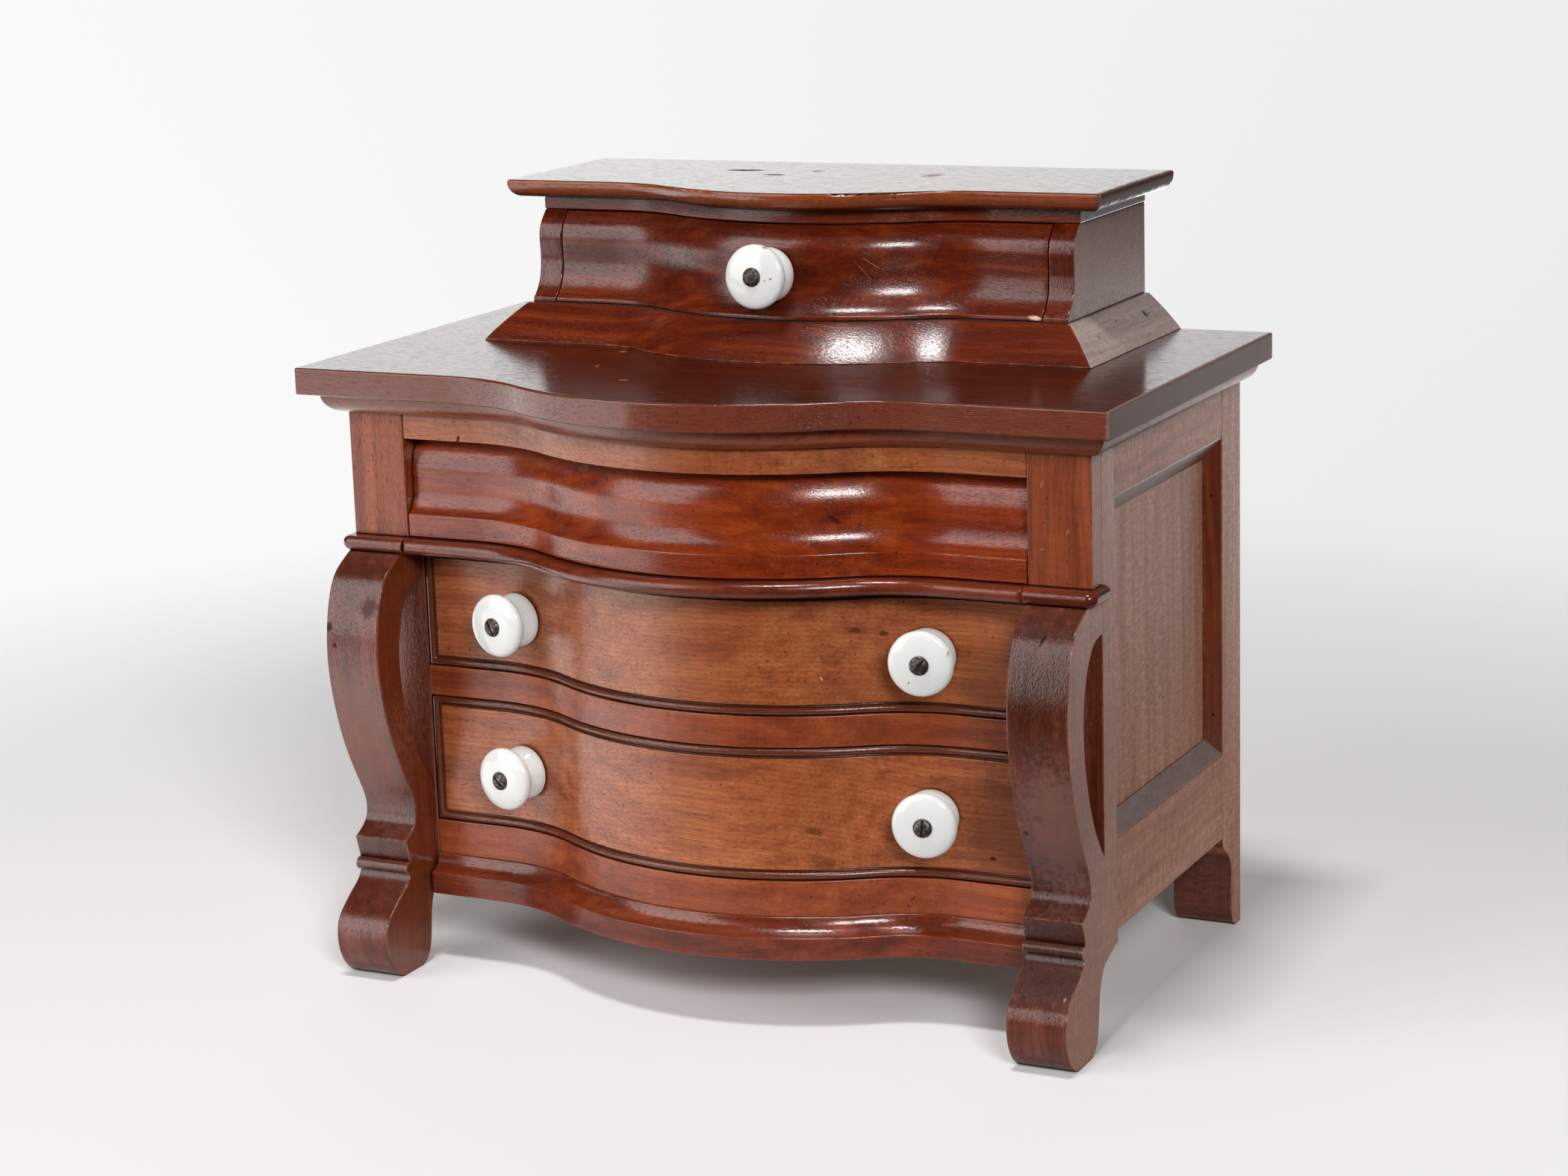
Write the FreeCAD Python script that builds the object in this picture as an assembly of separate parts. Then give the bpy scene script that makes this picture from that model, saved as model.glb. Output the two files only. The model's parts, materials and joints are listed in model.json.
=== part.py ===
import FreeCAD, Part
import math
import os

# Sewing thread drawer cabinet: a miniature chest with a serpentine front, two scroll
# front legs, two main drawers, a shallow ogee drawer under the top, and a small box with
# one more drawer standing on the top.
# Axes: X across the front, Y to the back, Z up. The origin is on the floor, under the
# middle of the overall size. All sizes are in millimetres.

os.makedirs("parts", exist_ok=True)
Vec = FreeCAD.Vector

# ---- overall size ----
overall_width = 406.0
overall_depth = 252.5
case_height = 293.1

# ---- serpentine of the chest: how far it swells, and where its curves change over ----
main_bow = 35.5
main_crest_half = 76.0
main_curve_half = 120.0

# ---- depths of the chest, from the flat ends of the top's front edge to the back ----
back_y = overall_depth / 2
top_front_y = main_bow - overall_depth / 2
post_face_y = top_front_y + 19.7
waist_nose_y = top_front_y + 11.8
stile_face_y = top_front_y + 31.5
stile_back_y = stile_face_y + 15.5
rail_back_y = stile_face_y + 31.5
rear_stile_face_y = back_y - 26.6

# ---- widths of the chest ----
case_half = 187.0
opening_half = 157.2
leg_inner_x = opening_half + 1.4
bead_half = 191.0

# ---- heights of the chest ----
foot_band_z = 33.8
side_bottom_z = 49.3
base_moulding_top_z = 52.0
lower_rail_top_z = 68.9
side_panel_bottom_z = 91.7
mid_rail_bottom_z = 131.3
mid_rail_top_z = 146.0
waist_bottom_z = 204.0
waist_top_z = 211.1
side_panel_top_z = 246.9
frieze_rail_bottom_z = 258.3
bed_moulding_bottom_z = 269.8
top_under_z = 280.3
bed_moulding_out = 9.4

# ---- how far the arrises and noses are rounded ----
top_arris = 1.1
rail_arris = 0.6
post_arris = 0.7
leg_arris = 0.7
waist_round = 3.4
bead_end_round = 4.5
bead_round = 3.3
bed_board_arris = 0.8
box_top_round = 7.2
box_top_arris = 1.2

# ---- depth of the scroll legs, bottom and back boards, and the runners ----
leg_depth = 28.5
case_bottom_thickness = 6.0
back_board_thickness = 6.0
back_board_joint_z = 168.0
back_rabbet = 7.0
runner_inner_x = 146.0
runner_thicknesses = (10.9, 8.0, 8.0)
guide_height = 10.0

# ---- side panels ----
rail_inner_x = 172.0
panel_inner_x = 175.0
panel_face_x = 180.5
panel_moulding_width = 9.3
groove_depth = 4.0

# ---- upper box ----
box_bow = 27.0
box_crest_half = 62.0
box_curve_half = 97.0
box_bottom_z = 309.8
box_bed_z = 353.2
box_top_under_z = 359.5
box_top_z = 368.4
box_half = 139.5
box_side_thickness = 12.4
box_rabbet_width = 6.0
box_rabbet_depth = 7.0
box_floor_thickness = 6.0
box_bed_half = 139.8
box_top_half = 154.1
splay_corner_x = 141.5
splay_corner_y = top_front_y + 113.6
splay_run = 16.2
splay_fullness = 0.35
splay_thickness = 8.0
box_ogee_y = splay_corner_y + 2.2
box_bed_y = splay_corner_y + 18.1
box_top_y = splay_corner_y + 7.2

# ---- drawers ----
gap = 0.4
drawer_side_thickness = 6.0
drawer_bottom_thickness = 4.0
drawer_bottom_lift = 3.0
front_thickness = 14.5
frieze_front_thickness = 20.0
box_front_thickness = 23.0
main_side_drop = 5.5
small_side_drop = 6.0
bead_width = 3.6
quirk_width = 1.0
drawer_half = opening_half - gap
main_drawer_back_y = rear_stile_face_y - 3.9
box_drawer_half = box_half - box_side_thickness - gap
box_drawer_back_y = back_y - 11.0
stop_height = 8.0
stop_x = (147.0, 156.0)
box_stop_x = (112.0, 124.0)

# ---- knobs ----
knob_radius = 15.0
knob_base_radius = 12.8
knob_length = 18.8
main_knob_x = 105.0
bolt_radius = 2.0
bolt_head_radius = 4.25
bolt_hole_radius = 2.1
nut_half = 3.6
nut_thickness = 2.5
knob_stand_off = 1.15
middle_knob_z = 173.0
bottom_knob_z = 98.5
box_knob_z = 330.6
box_knob_inset = 5.8
box_knob_tip = 4.0
box_bolt_grip = 18.6


class Serpentine:
    # A front line with flat ends, a hollow each side and a round swell in the middle,
    # all tangent to each other. The y of the flat ends is passed in by each piece.
    def __init__(self, bow, crest_half, curve_half):
        self.bow = bow
        self.curve_half = curve_half
        self.turn = 2 * math.atan(bow / curve_half)
        self.crest_radius = crest_half / math.sin(self.turn)
        self.hollow_radius = (curve_half - crest_half) / math.sin(self.turn)

    def edges(self, flat_y, end_x, inset=0.0):
        # edges from the left end to the right, moved inset towards the back all along
        crest_r = self.crest_radius - inset
        hollow_r = self.hollow_radius + inset
        crest_y = flat_y - self.bow + self.crest_radius
        hollow_y = flat_y - self.hollow_radius

        def on_crest(angle):
            return Vec(crest_r * math.sin(angle), crest_y - crest_r * math.cos(angle), 0)

        def on_hollow(side, angle):
            x = self.curve_half - hollow_r * math.sin(angle)
            return Vec(side * x, hollow_y + hollow_r * math.cos(angle), 0)

        half_turn = self.turn / 2
        ends = [Vec(side * end_x, flat_y + inset, 0) for side in (-1, 1)]
        starts = [Vec(side * self.curve_half, flat_y + inset, 0) for side in (-1, 1)]
        changes = [on_crest(-self.turn), on_crest(self.turn)]
        return [
            Part.makeLine(ends[0], starts[0]),
            Part.Arc(starts[0], on_hollow(-1, half_turn), changes[0]).toShape(),
            Part.Arc(changes[0], on_crest(0), changes[1]).toShape(),
            Part.Arc(changes[1], on_hollow(1, half_turn), starts[1]).toShape(),
            Part.makeLine(starts[1], ends[1]),
        ]

    def in_hollow(self, flat_y, x, inset):
        # the point of the hollow at x, and the outward direction there
        hollow_r = self.hollow_radius + inset
        angle = math.asin((self.curve_half - x) / hollow_r)
        y = flat_y - self.hollow_radius + hollow_r * math.cos(angle)
        return Vec(x, y, 0), Vec(math.sin(angle), -math.cos(angle), 0)


main_front = Serpentine(main_bow, main_crest_half, main_curve_half)
box_front = Serpentine(box_bow, box_crest_half, box_curve_half)


def block(x0, x1, y0, y1, z0, z1):
    return Part.makeBox(x1 - x0, y1 - y0, z1 - z0, Vec(x0, y0, z0))


def mirrored(shape):
    return shape.mirror(Vec(0, 0, 0), Vec(1, 0, 0))


def outline(place, start, *steps):
    # A closed wire: each step is ("line", point), ("arc", middle, end) or
    # ("curve", point, ...), and the last point is joined to the first by a line.
    edges = []
    here = start
    for kind, *points in steps:
        placed = [place(point) for point in [here] + points]
        if kind == "line":
            edges.append(Part.makeLine(placed[0], placed[1]))
        elif kind == "arc":
            edges.append(Part.Arc(placed[0], placed[1], placed[2]).toShape())
        else:
            spline = Part.BSplineCurve()
            spline.interpolate(placed)
            edges.append(spline.toShape())
        here = points[-1]
    edges.append(Part.makeLine(place(here), place(start)))
    return Part.Wire(edges)


def in_side_view(x, y_from=0.0):
    return lambda point: Vec(x, y_from + point[0], point[1])


def prism(wire, direction):
    return Part.Face(wire).extrude(direction)


def plan_prism(points, z0, z1):
    corners = [Vec(x, y, z0) for x, y in points]
    return prism(Part.makePolygon(corners + corners[:1]), Vec(0, 0, z1 - z0))


def front_view_prism(points, y0, y1):
    corners = [Vec(x, y0, z) for x, z in points]
    return prism(Part.makePolygon(corners + corners[:1]), Vec(0, y1 - y0, 0))


def board(front, flat_y, end_x, rear_y, z0, z1, inset=0.0):
    # a board with a serpentine front edge and a straight back
    edges = front.edges(flat_y, end_x, inset)
    edge_y = flat_y + inset
    corners = [Vec(end_x, edge_y, 0), Vec(end_x, rear_y, 0), Vec(-end_x, rear_y, 0), Vec(-end_x, edge_y, 0)]
    edges += [Part.makeLine(a, b) for a, b in zip(corners, corners[1:])]
    face = Part.Face(Part.Wire(edges))
    face.translate(Vec(0, 0, z0))
    return face.extrude(Vec(0, 0, z1 - z0))


def curved_slab(front, flat_y, end_x, inset_front, inset_back, z0, z1):
    # a slab whose front and back both follow the serpentine
    outer = front.edges(flat_y, end_x, inset_front)
    inner = front.edges(flat_y, end_x, inset_back)
    y0, y1 = flat_y + inset_front, flat_y + inset_back
    ends = [Part.makeLine(Vec(side * end_x, y0, 0), Vec(side * end_x, y1, 0))
            for side in (-1, 1)]
    face = Part.Face(Part.Wire(Part.__sortEdges__(outer + inner + ends)))
    face.translate(Vec(0, 0, z0))
    return face.extrude(Vec(0, 0, z1 - z0))


def run_along(front, flat_y, end_x, start, *steps):
    # a moulding run along the serpentine; its section is given as (inset, z) points
    path = Part.Wire(front.edges(flat_y, end_x))
    section = outline(in_side_view(-end_x, flat_y), start, *steps)
    return path.makePipeShell([section], True, False)


def run_to_back(x, corner_y, start, *steps):
    # the same kind of section, as (outward, z) points, run straight to the back
    section = outline(lambda p: Vec(x + p[0], corner_y, p[1]), start, *steps)
    return prism(section, Vec(0, back_y - corner_y, 0))


def mitre_side(corner_x, corner_y, reach, z0, z1):
    # the space beside a mitred corner, on the right-hand side
    return plan_prism([(corner_x - reach, corner_y + reach), (corner_x + reach, corner_y - reach),
                       (corner_x + reach, back_y + 1), (corner_x - reach, back_y + 1)], z0, z1)


def eased(shape, radius, where):
    edges = [edge for edge in shape.Edges if where(edge.CenterOfMass)]
    return shape.makeFillet(radius, edges)


def group(solids):
    return Part.makeCompound(solids)


def write(name, shape):
    solids = shape.Solids
    if not solids or not all(solid.isValid() for solid in solids):
        raise ValueError("bad shape: " + name)
    if len(solids) == 1:
        shape = solids[0]
    shape.exportStep("parts/" + name + ".step")
    box = shape.optimalBoundingBox()
    print("%-24s %2d solid(s) %9.0f mm3  x %.1f..%.1f y %.1f..%.1f z %.1f..%.1f" % (
        name, len(solids), shape.Volume, box.XMin, box.XMax, box.YMin, box.YMax, box.ZMin, box.ZMax))


def write_pair(name, right_shape):
    write(name + "_right", right_shape)
    write(name + "_left", mirrored(right_shape))


# ---- chest top and the moulding under it ----
def make_top():
    top = board(main_front, top_front_y, overall_width / 2, back_y, top_under_z, case_height)
    top = eased(top, top_arris, lambda c: c.y < back_y - 1)
    write("main_top", top)

    under, bottom, out = top_under_z, bed_moulding_bottom_z, bed_moulding_out
    slant = math.sqrt(0.5)
    belly = (out * slant, under - (under - bottom) * slant)
    front = run_along(main_front, post_face_y, case_half + out, (0, bottom),
                      ("arc", (-belly[0], belly[1]), (-out, under)), ("line", (0, under)))
    side = run_to_back(case_half, post_face_y - out, (0, bottom),
                       ("arc", belly, (out, under)), ("line", (0, under)))
    beside = mitre_side(case_half, post_face_y, 2 * out, bottom - 1, under + 1)
    write("bed_moulding_front", front.cut(beside).cut(mirrored(beside)))
    write_pair("bed_moulding", side.common(beside))


# ---- front frame: rails, posts, stiles and the bead at the waist ----
def make_front_frame():
    top_rail = board(main_front, post_face_y, opening_half, stile_back_y, frieze_rail_bottom_z, top_under_z)
    top_rail = eased(top_rail, rail_arris,
                     lambda c: c.y < post_face_y + 1 and c.z < frieze_rail_bottom_z + 0.1)
    write("frieze_rail", top_rail)

    post = block(opening_half, case_half, post_face_y, stile_face_y, waist_top_z, top_under_z)
    post = eased(post, post_arris, lambda c: c.y < post_face_y + 0.1 and c.z < top_under_z - 1)
    write_pair("frieze_post", post)

    waist = board(main_front, waist_nose_y, opening_half, rail_back_y, waist_bottom_z, waist_top_z)
    write("waist_rail", eased(waist, waist_round, lambda c: c.y < waist_nose_y + 1))

    bead = block(opening_half, bead_half, waist_nose_y, stile_face_y, waist_bottom_z, waist_top_z)
    bead = eased(bead, bead_end_round, lambda c: c.x > bead_half - 0.1 and c.y < waist_nose_y + 0.1)
    bead = eased(bead, bead_round, lambda c: c.y < stile_face_y - 0.1 and c.x > opening_half + 0.1
                 and abs(c.z - (waist_bottom_z + waist_top_z) / 2) > 3)
    write_pair("waist_bead", bead)

    mid_rail = board(main_front, stile_face_y, opening_half, rail_back_y, mid_rail_bottom_z, mid_rail_top_z)
    mid_rail = eased(mid_rail, rail_arris,
                     lambda c: c.y < stile_face_y + 0.1 and abs(c.x) < opening_half - 1)
    write("mid_rail", mid_rail)

    lower_rail = board(main_front, stile_face_y, opening_half, rail_back_y, foot_band_z, lower_rail_top_z)
    lower_rail = eased(lower_rail, rail_arris,
                       lambda c: c.y < stile_face_y + 0.1 and c.z > lower_rail_top_z - 0.1)
    write("lower_rail", lower_rail)

    base = run_along(main_front, stile_face_y, opening_half, (0, foot_band_z),
                     ("line", (-8.5, foot_band_z)), ("line", (-8.5, 44.4)),
                     ("arc", (-3.3, 46.9), (-1.0, base_moulding_top_z)), ("line", (0, base_moulding_top_z)))
    write("base_moulding", base)

    groove_z = (side_panel_bottom_z - groove_depth, side_panel_top_z + groove_depth)
    stile_foot = outline(in_side_view(opening_half, stile_face_y), (0, 38.5), ("line", (6.5, 41.0)),
                         ("line", (15.5, 43.6)), ("line", (15.5, top_under_z)), ("line", (0, top_under_z)))
    stile = prism(stile_foot, Vec(case_half - opening_half, 0, 0))
    groove = block(panel_inner_x, panel_face_x, stile_back_y - groove_depth, stile_back_y, *groove_z)
    stile = stile.cut(groove)
    write_pair("front_stile", stile)


# ---- scroll legs ----
def make_scroll_legs():
    leg = outline(
        in_side_view(leg_inner_x, stile_face_y - leg_depth), (10.0, waist_bottom_z),
        ("curve", (3.2, 200.5), (-3.2, 196.0), (-8.7, 187.0), (-12.8, 172.0), (-14.0, 157.0), (-12.0, 140.0),
         (-5.0, 115.0), (5.5, 93.0), (11.3, 79.0), (10.5, 72.0), (6.5, 68.3), (1.0, 65.5)),
        ("line", (4.2, 54.2)),
        ("arc", (0.2, 51.2), (3.4, 48.2)),
        ("curve", (1.6, 45.0), (-4.0, 40.8), (-12.5, 34.8), (-18.3, 28.8), (-20.0, 21.5), (-18.6, 13.0),
         (-14.0, 5.2), (-7.0, 0.0)),
        ("line", (11.5, 0.0)),
        ("curve", (17.0, 4.5), (19.6, 13.0), (21.4, 26.0), (leg_depth, 38.5)),
        ("line", (leg_depth, 88.5)),
        ("curve", (21.0, 98.0), (12.0, 116.0), (6.3, 138.0), (5.2, 156.0), (8.3, 172.0), (15.8, 184.3),
         (leg_depth, 188.5)),
        ("line", (leg_depth, waist_bottom_z)))
    leg = prism(leg, Vec(case_half - leg_inner_x, 0, 0))
    long_curves = [edge for edge in leg.Edges
                   if edge.Length > 40 and edge.Curve.TypeId == "Part::GeomBSplineCurve"]
    write_pair("scroll_leg", leg.makeFillet(leg_arris, long_curves))


# ---- rear stiles, sides and back ----
def make_rear_stiles():
    foot = outline(in_side_view(opening_half, rear_stile_face_y), (0, side_bottom_z),
                   ("curve", (1.6, 44.5), (7.2, 40.2), (11.6, 35.0), (12.8, 28.0)),
                   ("line", (12.6, 12.0)), ("curve", (14.0, 5.0), (19.0, 0.0)),
                   ("line", (26.6, 0.0)), ("line", (26.6, top_under_z)), ("line", (0, top_under_z)))
    stile = prism(foot, Vec(case_half - opening_half, 0, 0))
    panel_groove = block(panel_inner_x, panel_face_x, rear_stile_face_y, rear_stile_face_y + groove_depth,
                         side_panel_bottom_z - groove_depth, side_panel_top_z + groove_depth)
    board_rabbet = block(opening_half, opening_half + back_rabbet, back_y - back_rabbet, back_y,
                         side_bottom_z, top_under_z)
    write_pair("rear_stile", stile.cut(panel_groove).cut(board_rabbet))


def make_sides():
    low = block(rail_inner_x, case_half, stile_back_y, rear_stile_face_y, side_bottom_z, side_panel_bottom_z)
    high = block(rail_inner_x, case_half, stile_back_y, rear_stile_face_y, side_panel_top_z, top_under_z)
    panel = block(panel_inner_x, panel_face_x, stile_back_y - groove_depth, rear_stile_face_y + groove_depth,
                  side_panel_bottom_z - groove_depth, side_panel_top_z + groove_depth)
    write_pair("side_rails", group([low.cut(panel), high.cut(panel)]))
    write_pair("side_panel", panel)

    # four bevelled strips, mitred round the inside of the frame
    depth = case_half - panel_face_x
    y0, y1, z0, z1 = stile_back_y, rear_stile_face_y, side_panel_bottom_z, side_panel_top_z
    width = panel_moulding_width

    def strip(lie, length, mitre):
        section = [(0, 0), (depth - 0.3, 0), (depth - 0.3, 0.8), (0.6, width), (0, width)]
        wire = Part.makePolygon([lie(out, across) for out, across in section + section[:1]])
        corners = [Vec(panel_face_x - 1, y, z) for y, z in mitre]
        wedge = prism(Part.makePolygon(corners + corners[:1]), Vec(depth + 2, 0, 0))
        return prism(wire, length).common(wedge)

    across_y, up_z = Vec(0, y1 - y0, 0), Vec(0, 0, z1 - z0)
    strips = [
        strip(lambda o, a: Vec(panel_face_x + o, y0, z0 + a), across_y,
              [(y0, z0), (y1, z0), (y1 - width, z0 + width), (y0 + width, z0 + width)]),
        strip(lambda o, a: Vec(panel_face_x + o, y0, z1 - a), across_y,
              [(y0, z1), (y1, z1), (y1 - width, z1 - width), (y0 + width, z1 - width)]),
        strip(lambda o, a: Vec(panel_face_x + o, y0 + a, z0), up_z,
              [(y0, z0), (y0, z1), (y0 + width, z1 - width), (y0 + width, z0 + width)]),
        strip(lambda o, a: Vec(panel_face_x + o, y1 - a, z0), up_z,
              [(y1, z0), (y1, z1), (y1 - width, z1 - width), (y1 - width, z0 + width)]),
    ]
    write_pair("panel_moulding", group(strips))


def make_back_and_bottom():
    half = opening_half + back_rabbet - 0.2
    front_y = back_y - back_rabbet + 0.2
    rear_y = front_y + back_board_thickness
    low = block(-half, half, front_y, rear_y, side_bottom_z, back_board_joint_z)
    high = block(-half, half, front_y, rear_y, back_board_joint_z + 0.6, top_under_z)
    write("back_boards", group([low, high]))

    z0, z1 = base_moulding_top_z, base_moulding_top_z + case_bottom_thickness
    wide = block(-rail_inner_x, rail_inner_x, rail_back_y, rear_stile_face_y, z0, z1)
    narrow = block(-opening_half, opening_half, rear_stile_face_y, back_y - back_rabbet, z0, z1)
    write("case_bottom", wide.fuse(narrow).removeSplitter())


# ---- what carries the drawers inside ----
def make_runners():
    runners = []
    stops = []
    for top_z, thickness in zip((lower_rail_top_z, mid_rail_top_z, waist_top_z), runner_thicknesses):
        tread = block(runner_inner_x, rail_inner_x, rail_back_y, rear_stile_face_y, top_z - thickness, top_z)
        guide = block(opening_half + 0.1, rail_inner_x, rail_back_y, rear_stile_face_y, top_z,
                      top_z + guide_height)
        runner = tread.fuse(guide).removeSplitter()
        stop = block(*stop_x, main_drawer_back_y + 0.3, rear_stile_face_y - 0.6, top_z, top_z + stop_height)
        runners += [runner, mirrored(runner)]
        stops += [stop, mirrored(stop)]
    box_stop = block(*box_stop_x, box_drawer_back_y + 0.3, back_y - box_rabbet_depth - 0.5,
                     box_bottom_z, box_bottom_z + stop_height)
    stops += [box_stop, mirrored(box_stop)]
    write("drawer_runners", group(runners))
    write("drawer_stops", group(stops))


# ---- upper box ----
box_ogee_foot = (0.3, 312.2)
box_ogee = [(2.9, 314.2), (5.4, 317.5), (7.1, 320.8), (8.3, 325.5), (8.75, 331.0), (8.35, 338.5),
            (8.7, 343.2), (10.3, 347.0), (13.3, 350.6)]
box_ogee_top_inset = 15.8


def make_upper_box():
    z0, z1 = case_height, box_bottom_z
    middle_out = splay_run / 2 + splay_fullness
    middle_z = (z0 + z1) / 2 + splay_fullness
    front = run_along(box_front, splay_corner_y, splay_corner_x + splay_run, (0, z1),
                      ("arc", (-middle_out, middle_z), (-splay_run, z0)),
                      ("line", (splay_thickness, z0)), ("line", (splay_thickness, z1)))
    side = run_to_back(splay_corner_x, splay_corner_y - splay_run, (0, z1),
                       ("arc", (middle_out, middle_z), (splay_run, z0)),
                       ("line", (-splay_thickness, z0)), ("line", (-splay_thickness, z1)))
    beside = mitre_side(splay_corner_x, splay_corner_y, 2 * splay_run, z0 - 1, z1 + 1)
    write("splay_front", front.cut(beside).cut(mirrored(beside)))
    write_pair("splay", side.common(beside))

    side_edge = outline(in_side_view(box_half - box_side_thickness, box_ogee_y), (box_ogee_foot[0], z1),
                        ("line", box_ogee_foot), ("curve", *box_ogee, (box_ogee_top_inset, box_bed_z)),
                        ("line", (back_y - box_ogee_y, box_bed_z)), ("line", (back_y - box_ogee_y, z1)))
    box_side = prism(side_edge, Vec(box_side_thickness, 0, 0))
    rabbet_x = box_half - box_side_thickness + box_rabbet_width
    rabbet = block(box_half - box_side_thickness, rabbet_x, back_y - box_rabbet_depth, back_y, z1, box_bed_z)
    write_pair("upper_side", box_side.cut(rabbet))

    bed = board(box_front, box_bed_y, box_bed_half, back_y, box_bed_z, box_top_under_z)
    bed = eased(bed, bed_board_arris, lambda c: c.y < back_y - 1 and c.z < box_bed_z + 0.1)
    write("upper_bed_board", bed)

    top = board(box_front, box_top_y, box_top_half, back_y, box_top_under_z, box_top_z)
    top = eased(top, box_top_round, lambda c: c.y < back_y - 1 and c.z < box_top_under_z + 0.1)
    top = eased(top, box_top_arris, lambda c: c.y < back_y - 1 and c.z > box_top_z - 0.1)
    write("upper_top", top)

    inner = rabbet_x - 0.1
    back_face_y = back_y - box_rabbet_depth + 0.2
    write("upper_back", block(-inner, inner, back_face_y, back_y - 0.8, z1, box_bed_z))
    floor_half = splay_corner_x - splay_thickness
    write("upper_bottom", board(box_front, splay_corner_y, floor_half, back_y - box_rabbet_depth,
                                z1 - box_floor_thickness, z1, splay_thickness + gap))


# ---- knobs: white glazed knobs held by a slotted bolt through the drawer front ----
def turned(profile_start, steps, base, outward):
    # a solid of revolution whose axis starts at base and points outward
    wire = outline(lambda p: Vec(p[0], 0, p[1]), profile_start, *steps)
    solid = Part.Face(wire).revolve(Vec(0, 0, 0), Vec(0, 0, 1), 360)
    solid.Placement = FreeCAD.Placement(base, FreeCAD.Rotation(Vec(0, 0, 1), outward))
    return solid


def knob(base, outward):
    r, length = bolt_hole_radius, knob_length
    steps = [
        ("line", (knob_base_radius - 0.9, 0)),
        ("arc", (knob_base_radius - 0.1, 0.6), (knob_base_radius, 1.6)),
        ("curve", (knob_base_radius - 0.3, 3.2), (10.7, 6.0), (9.9, 8.0), (10.6, 10.2), (13.4, 12.4)),
        ("curve", (14.7, 13.6), (knob_radius, 15.0), (14.3, 16.6), (12.0, 17.7), (8.0, 18.5), (4.6, length)),
        ("line", (r, length - 1.2)),
    ]
    return turned((r, 0), steps, base, outward)


def knob_bolt(base, outward, grip, slot_angle):
    # bolt with an oval slotted head outside and a square nut inside the drawer
    head_z = knob_length - 0.5
    nut_z = -grip - 2.6
    steps = [
        ("line", (bolt_radius, head_z - 0.7)),
        ("line", (bolt_head_radius - 0.4, head_z + 0.5)),
        ("line", (bolt_head_radius, head_z + 0.9)),
        ("curve", (3.4, head_z + 1.7), (1.8, head_z + 2.2), (0, head_z + 2.4)),
    ]
    end_z = nut_z - 1.2
    bolt = turned((0, end_z), [("line", (bolt_radius, end_z))] + steps, Vec(0, 0, 0), Vec(0, 0, 1))
    slot = block(-bolt_head_radius - 1, bolt_head_radius + 1, -0.5, 0.5, head_z + 1.1, head_z + 3)
    slot.rotate(Vec(0, 0, 0), Vec(0, 0, 1), slot_angle)
    nut = block(-nut_half, nut_half, -nut_half, nut_half, nut_z, nut_z + nut_thickness)
    bolt = bolt.cut(slot).fuse(nut).removeSplitter()
    bolt.Placement = FreeCAD.Placement(base, FreeCAD.Rotation(Vec(0, 0, 1), outward))
    return bolt


def bolt_hole(base, outward, grip):
    return Part.makeCylinder(bolt_hole_radius, grip + 12, base + outward * 6, outward * -1)


# ---- drawers ----
def drawer_box(name, front, flat_y, inset, half, z0, top_z, rear_y):
    # sides, back and bottom behind a drawer front whose rear face lies at inset
    inner = half - drawer_side_thickness
    butt_y = flat_y + inset
    side = block(inner, half, butt_y, rear_y, z0, top_z)
    write(name + "_drawer_sides", group([side, mirrored(side)]))
    bottom_z = z0 + drawer_bottom_lift
    bottom_top_z = bottom_z + drawer_bottom_thickness
    back_y0 = rear_y - drawer_side_thickness
    write(name + "_drawer_back", block(-inner, inner, back_y0, rear_y, bottom_top_z, top_z))
    write(name + "_drawer_bottom", board(front, flat_y, inner, rear_y, bottom_z, bottom_top_z, inset))


def beaded_front(z0, z1):
    # a flat field inside a half-round bead that is worked round the edge and mitred
    half, quirk, field, crest, heel = drawer_half, 1.5, 0.4, -0.5, 3.0
    rim = bead_width + quirk_width
    body = curved_slab(main_front, stile_face_y, half, quirk, front_thickness, z0, z1)
    panel = curved_slab(main_front, stile_face_y, half - rim, field, heel, z0 + rim, z1 - rim)
    width = bead_width
    corner = width + 1.5

    def along(z, up):
        run = run_along(main_front, stile_face_y, half, (heel, z), ("line", (quirk - 0.1, z)),
                        ("arc", (crest, z + up * width / 2), (quirk - 0.1, z + up * width)),
                        ("line", (heel, z + up * width)))
        cut_to = front_view_prism([(-half, z), (half, z), (half - corner, z + up * corner),
                                   (-half + corner, z + up * corner)], -200, 0)
        return run.common(cut_to)

    def upright():
        y = stile_face_y
        section = outline(lambda p: Vec(half - p[0], y + p[1], z0), (0, heel), ("line", (0, quirk - 0.1)),
                          ("arc", (width / 2, crest), (width, quirk - 0.1)), ("line", (width, heel)))
        cut_to = front_view_prism([(half, z0), (half, z1), (half - corner, z1 - corner),
                                   (half - corner, z0 + corner)], -200, 0)
        return prism(section, Vec(0, 0, z1 - z0)).common(cut_to)

    right = upright()
    return body.fuse([panel, along(z0, 1), along(z1, -1), right, mirrored(right)])


def make_main_drawer(name, z0, z1, knob_z, slot_angles):
    front = beaded_front(z0, z1)
    knobs, bolts = [], []
    stand_off = knob_stand_off
    for side, slot_angle in zip((-1, 1), slot_angles):
        root, outward = main_front.in_hollow(stile_face_y, main_knob_x, 0.4)
        base = root + outward * stand_off
        base = Vec(side * base.x, base.y, knob_z)
        outward = Vec(side * outward.x, outward.y, 0)
        grip = front_thickness + stand_off
        knobs.append(knob(base, outward))
        bolts.append(knob_bolt(base, outward, grip, slot_angle))
        front = front.cut(bolt_hole(base, outward, grip))
    write(name + "_drawer_front", front)
    write(name + "_drawer_knobs", group(knobs))
    write(name + "_drawer_bolts", group(bolts))
    drawer_box(name, main_front, stile_face_y, front_thickness, drawer_half, z0 + 0.2, z1 - main_side_drop,
               main_drawer_back_y)


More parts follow.
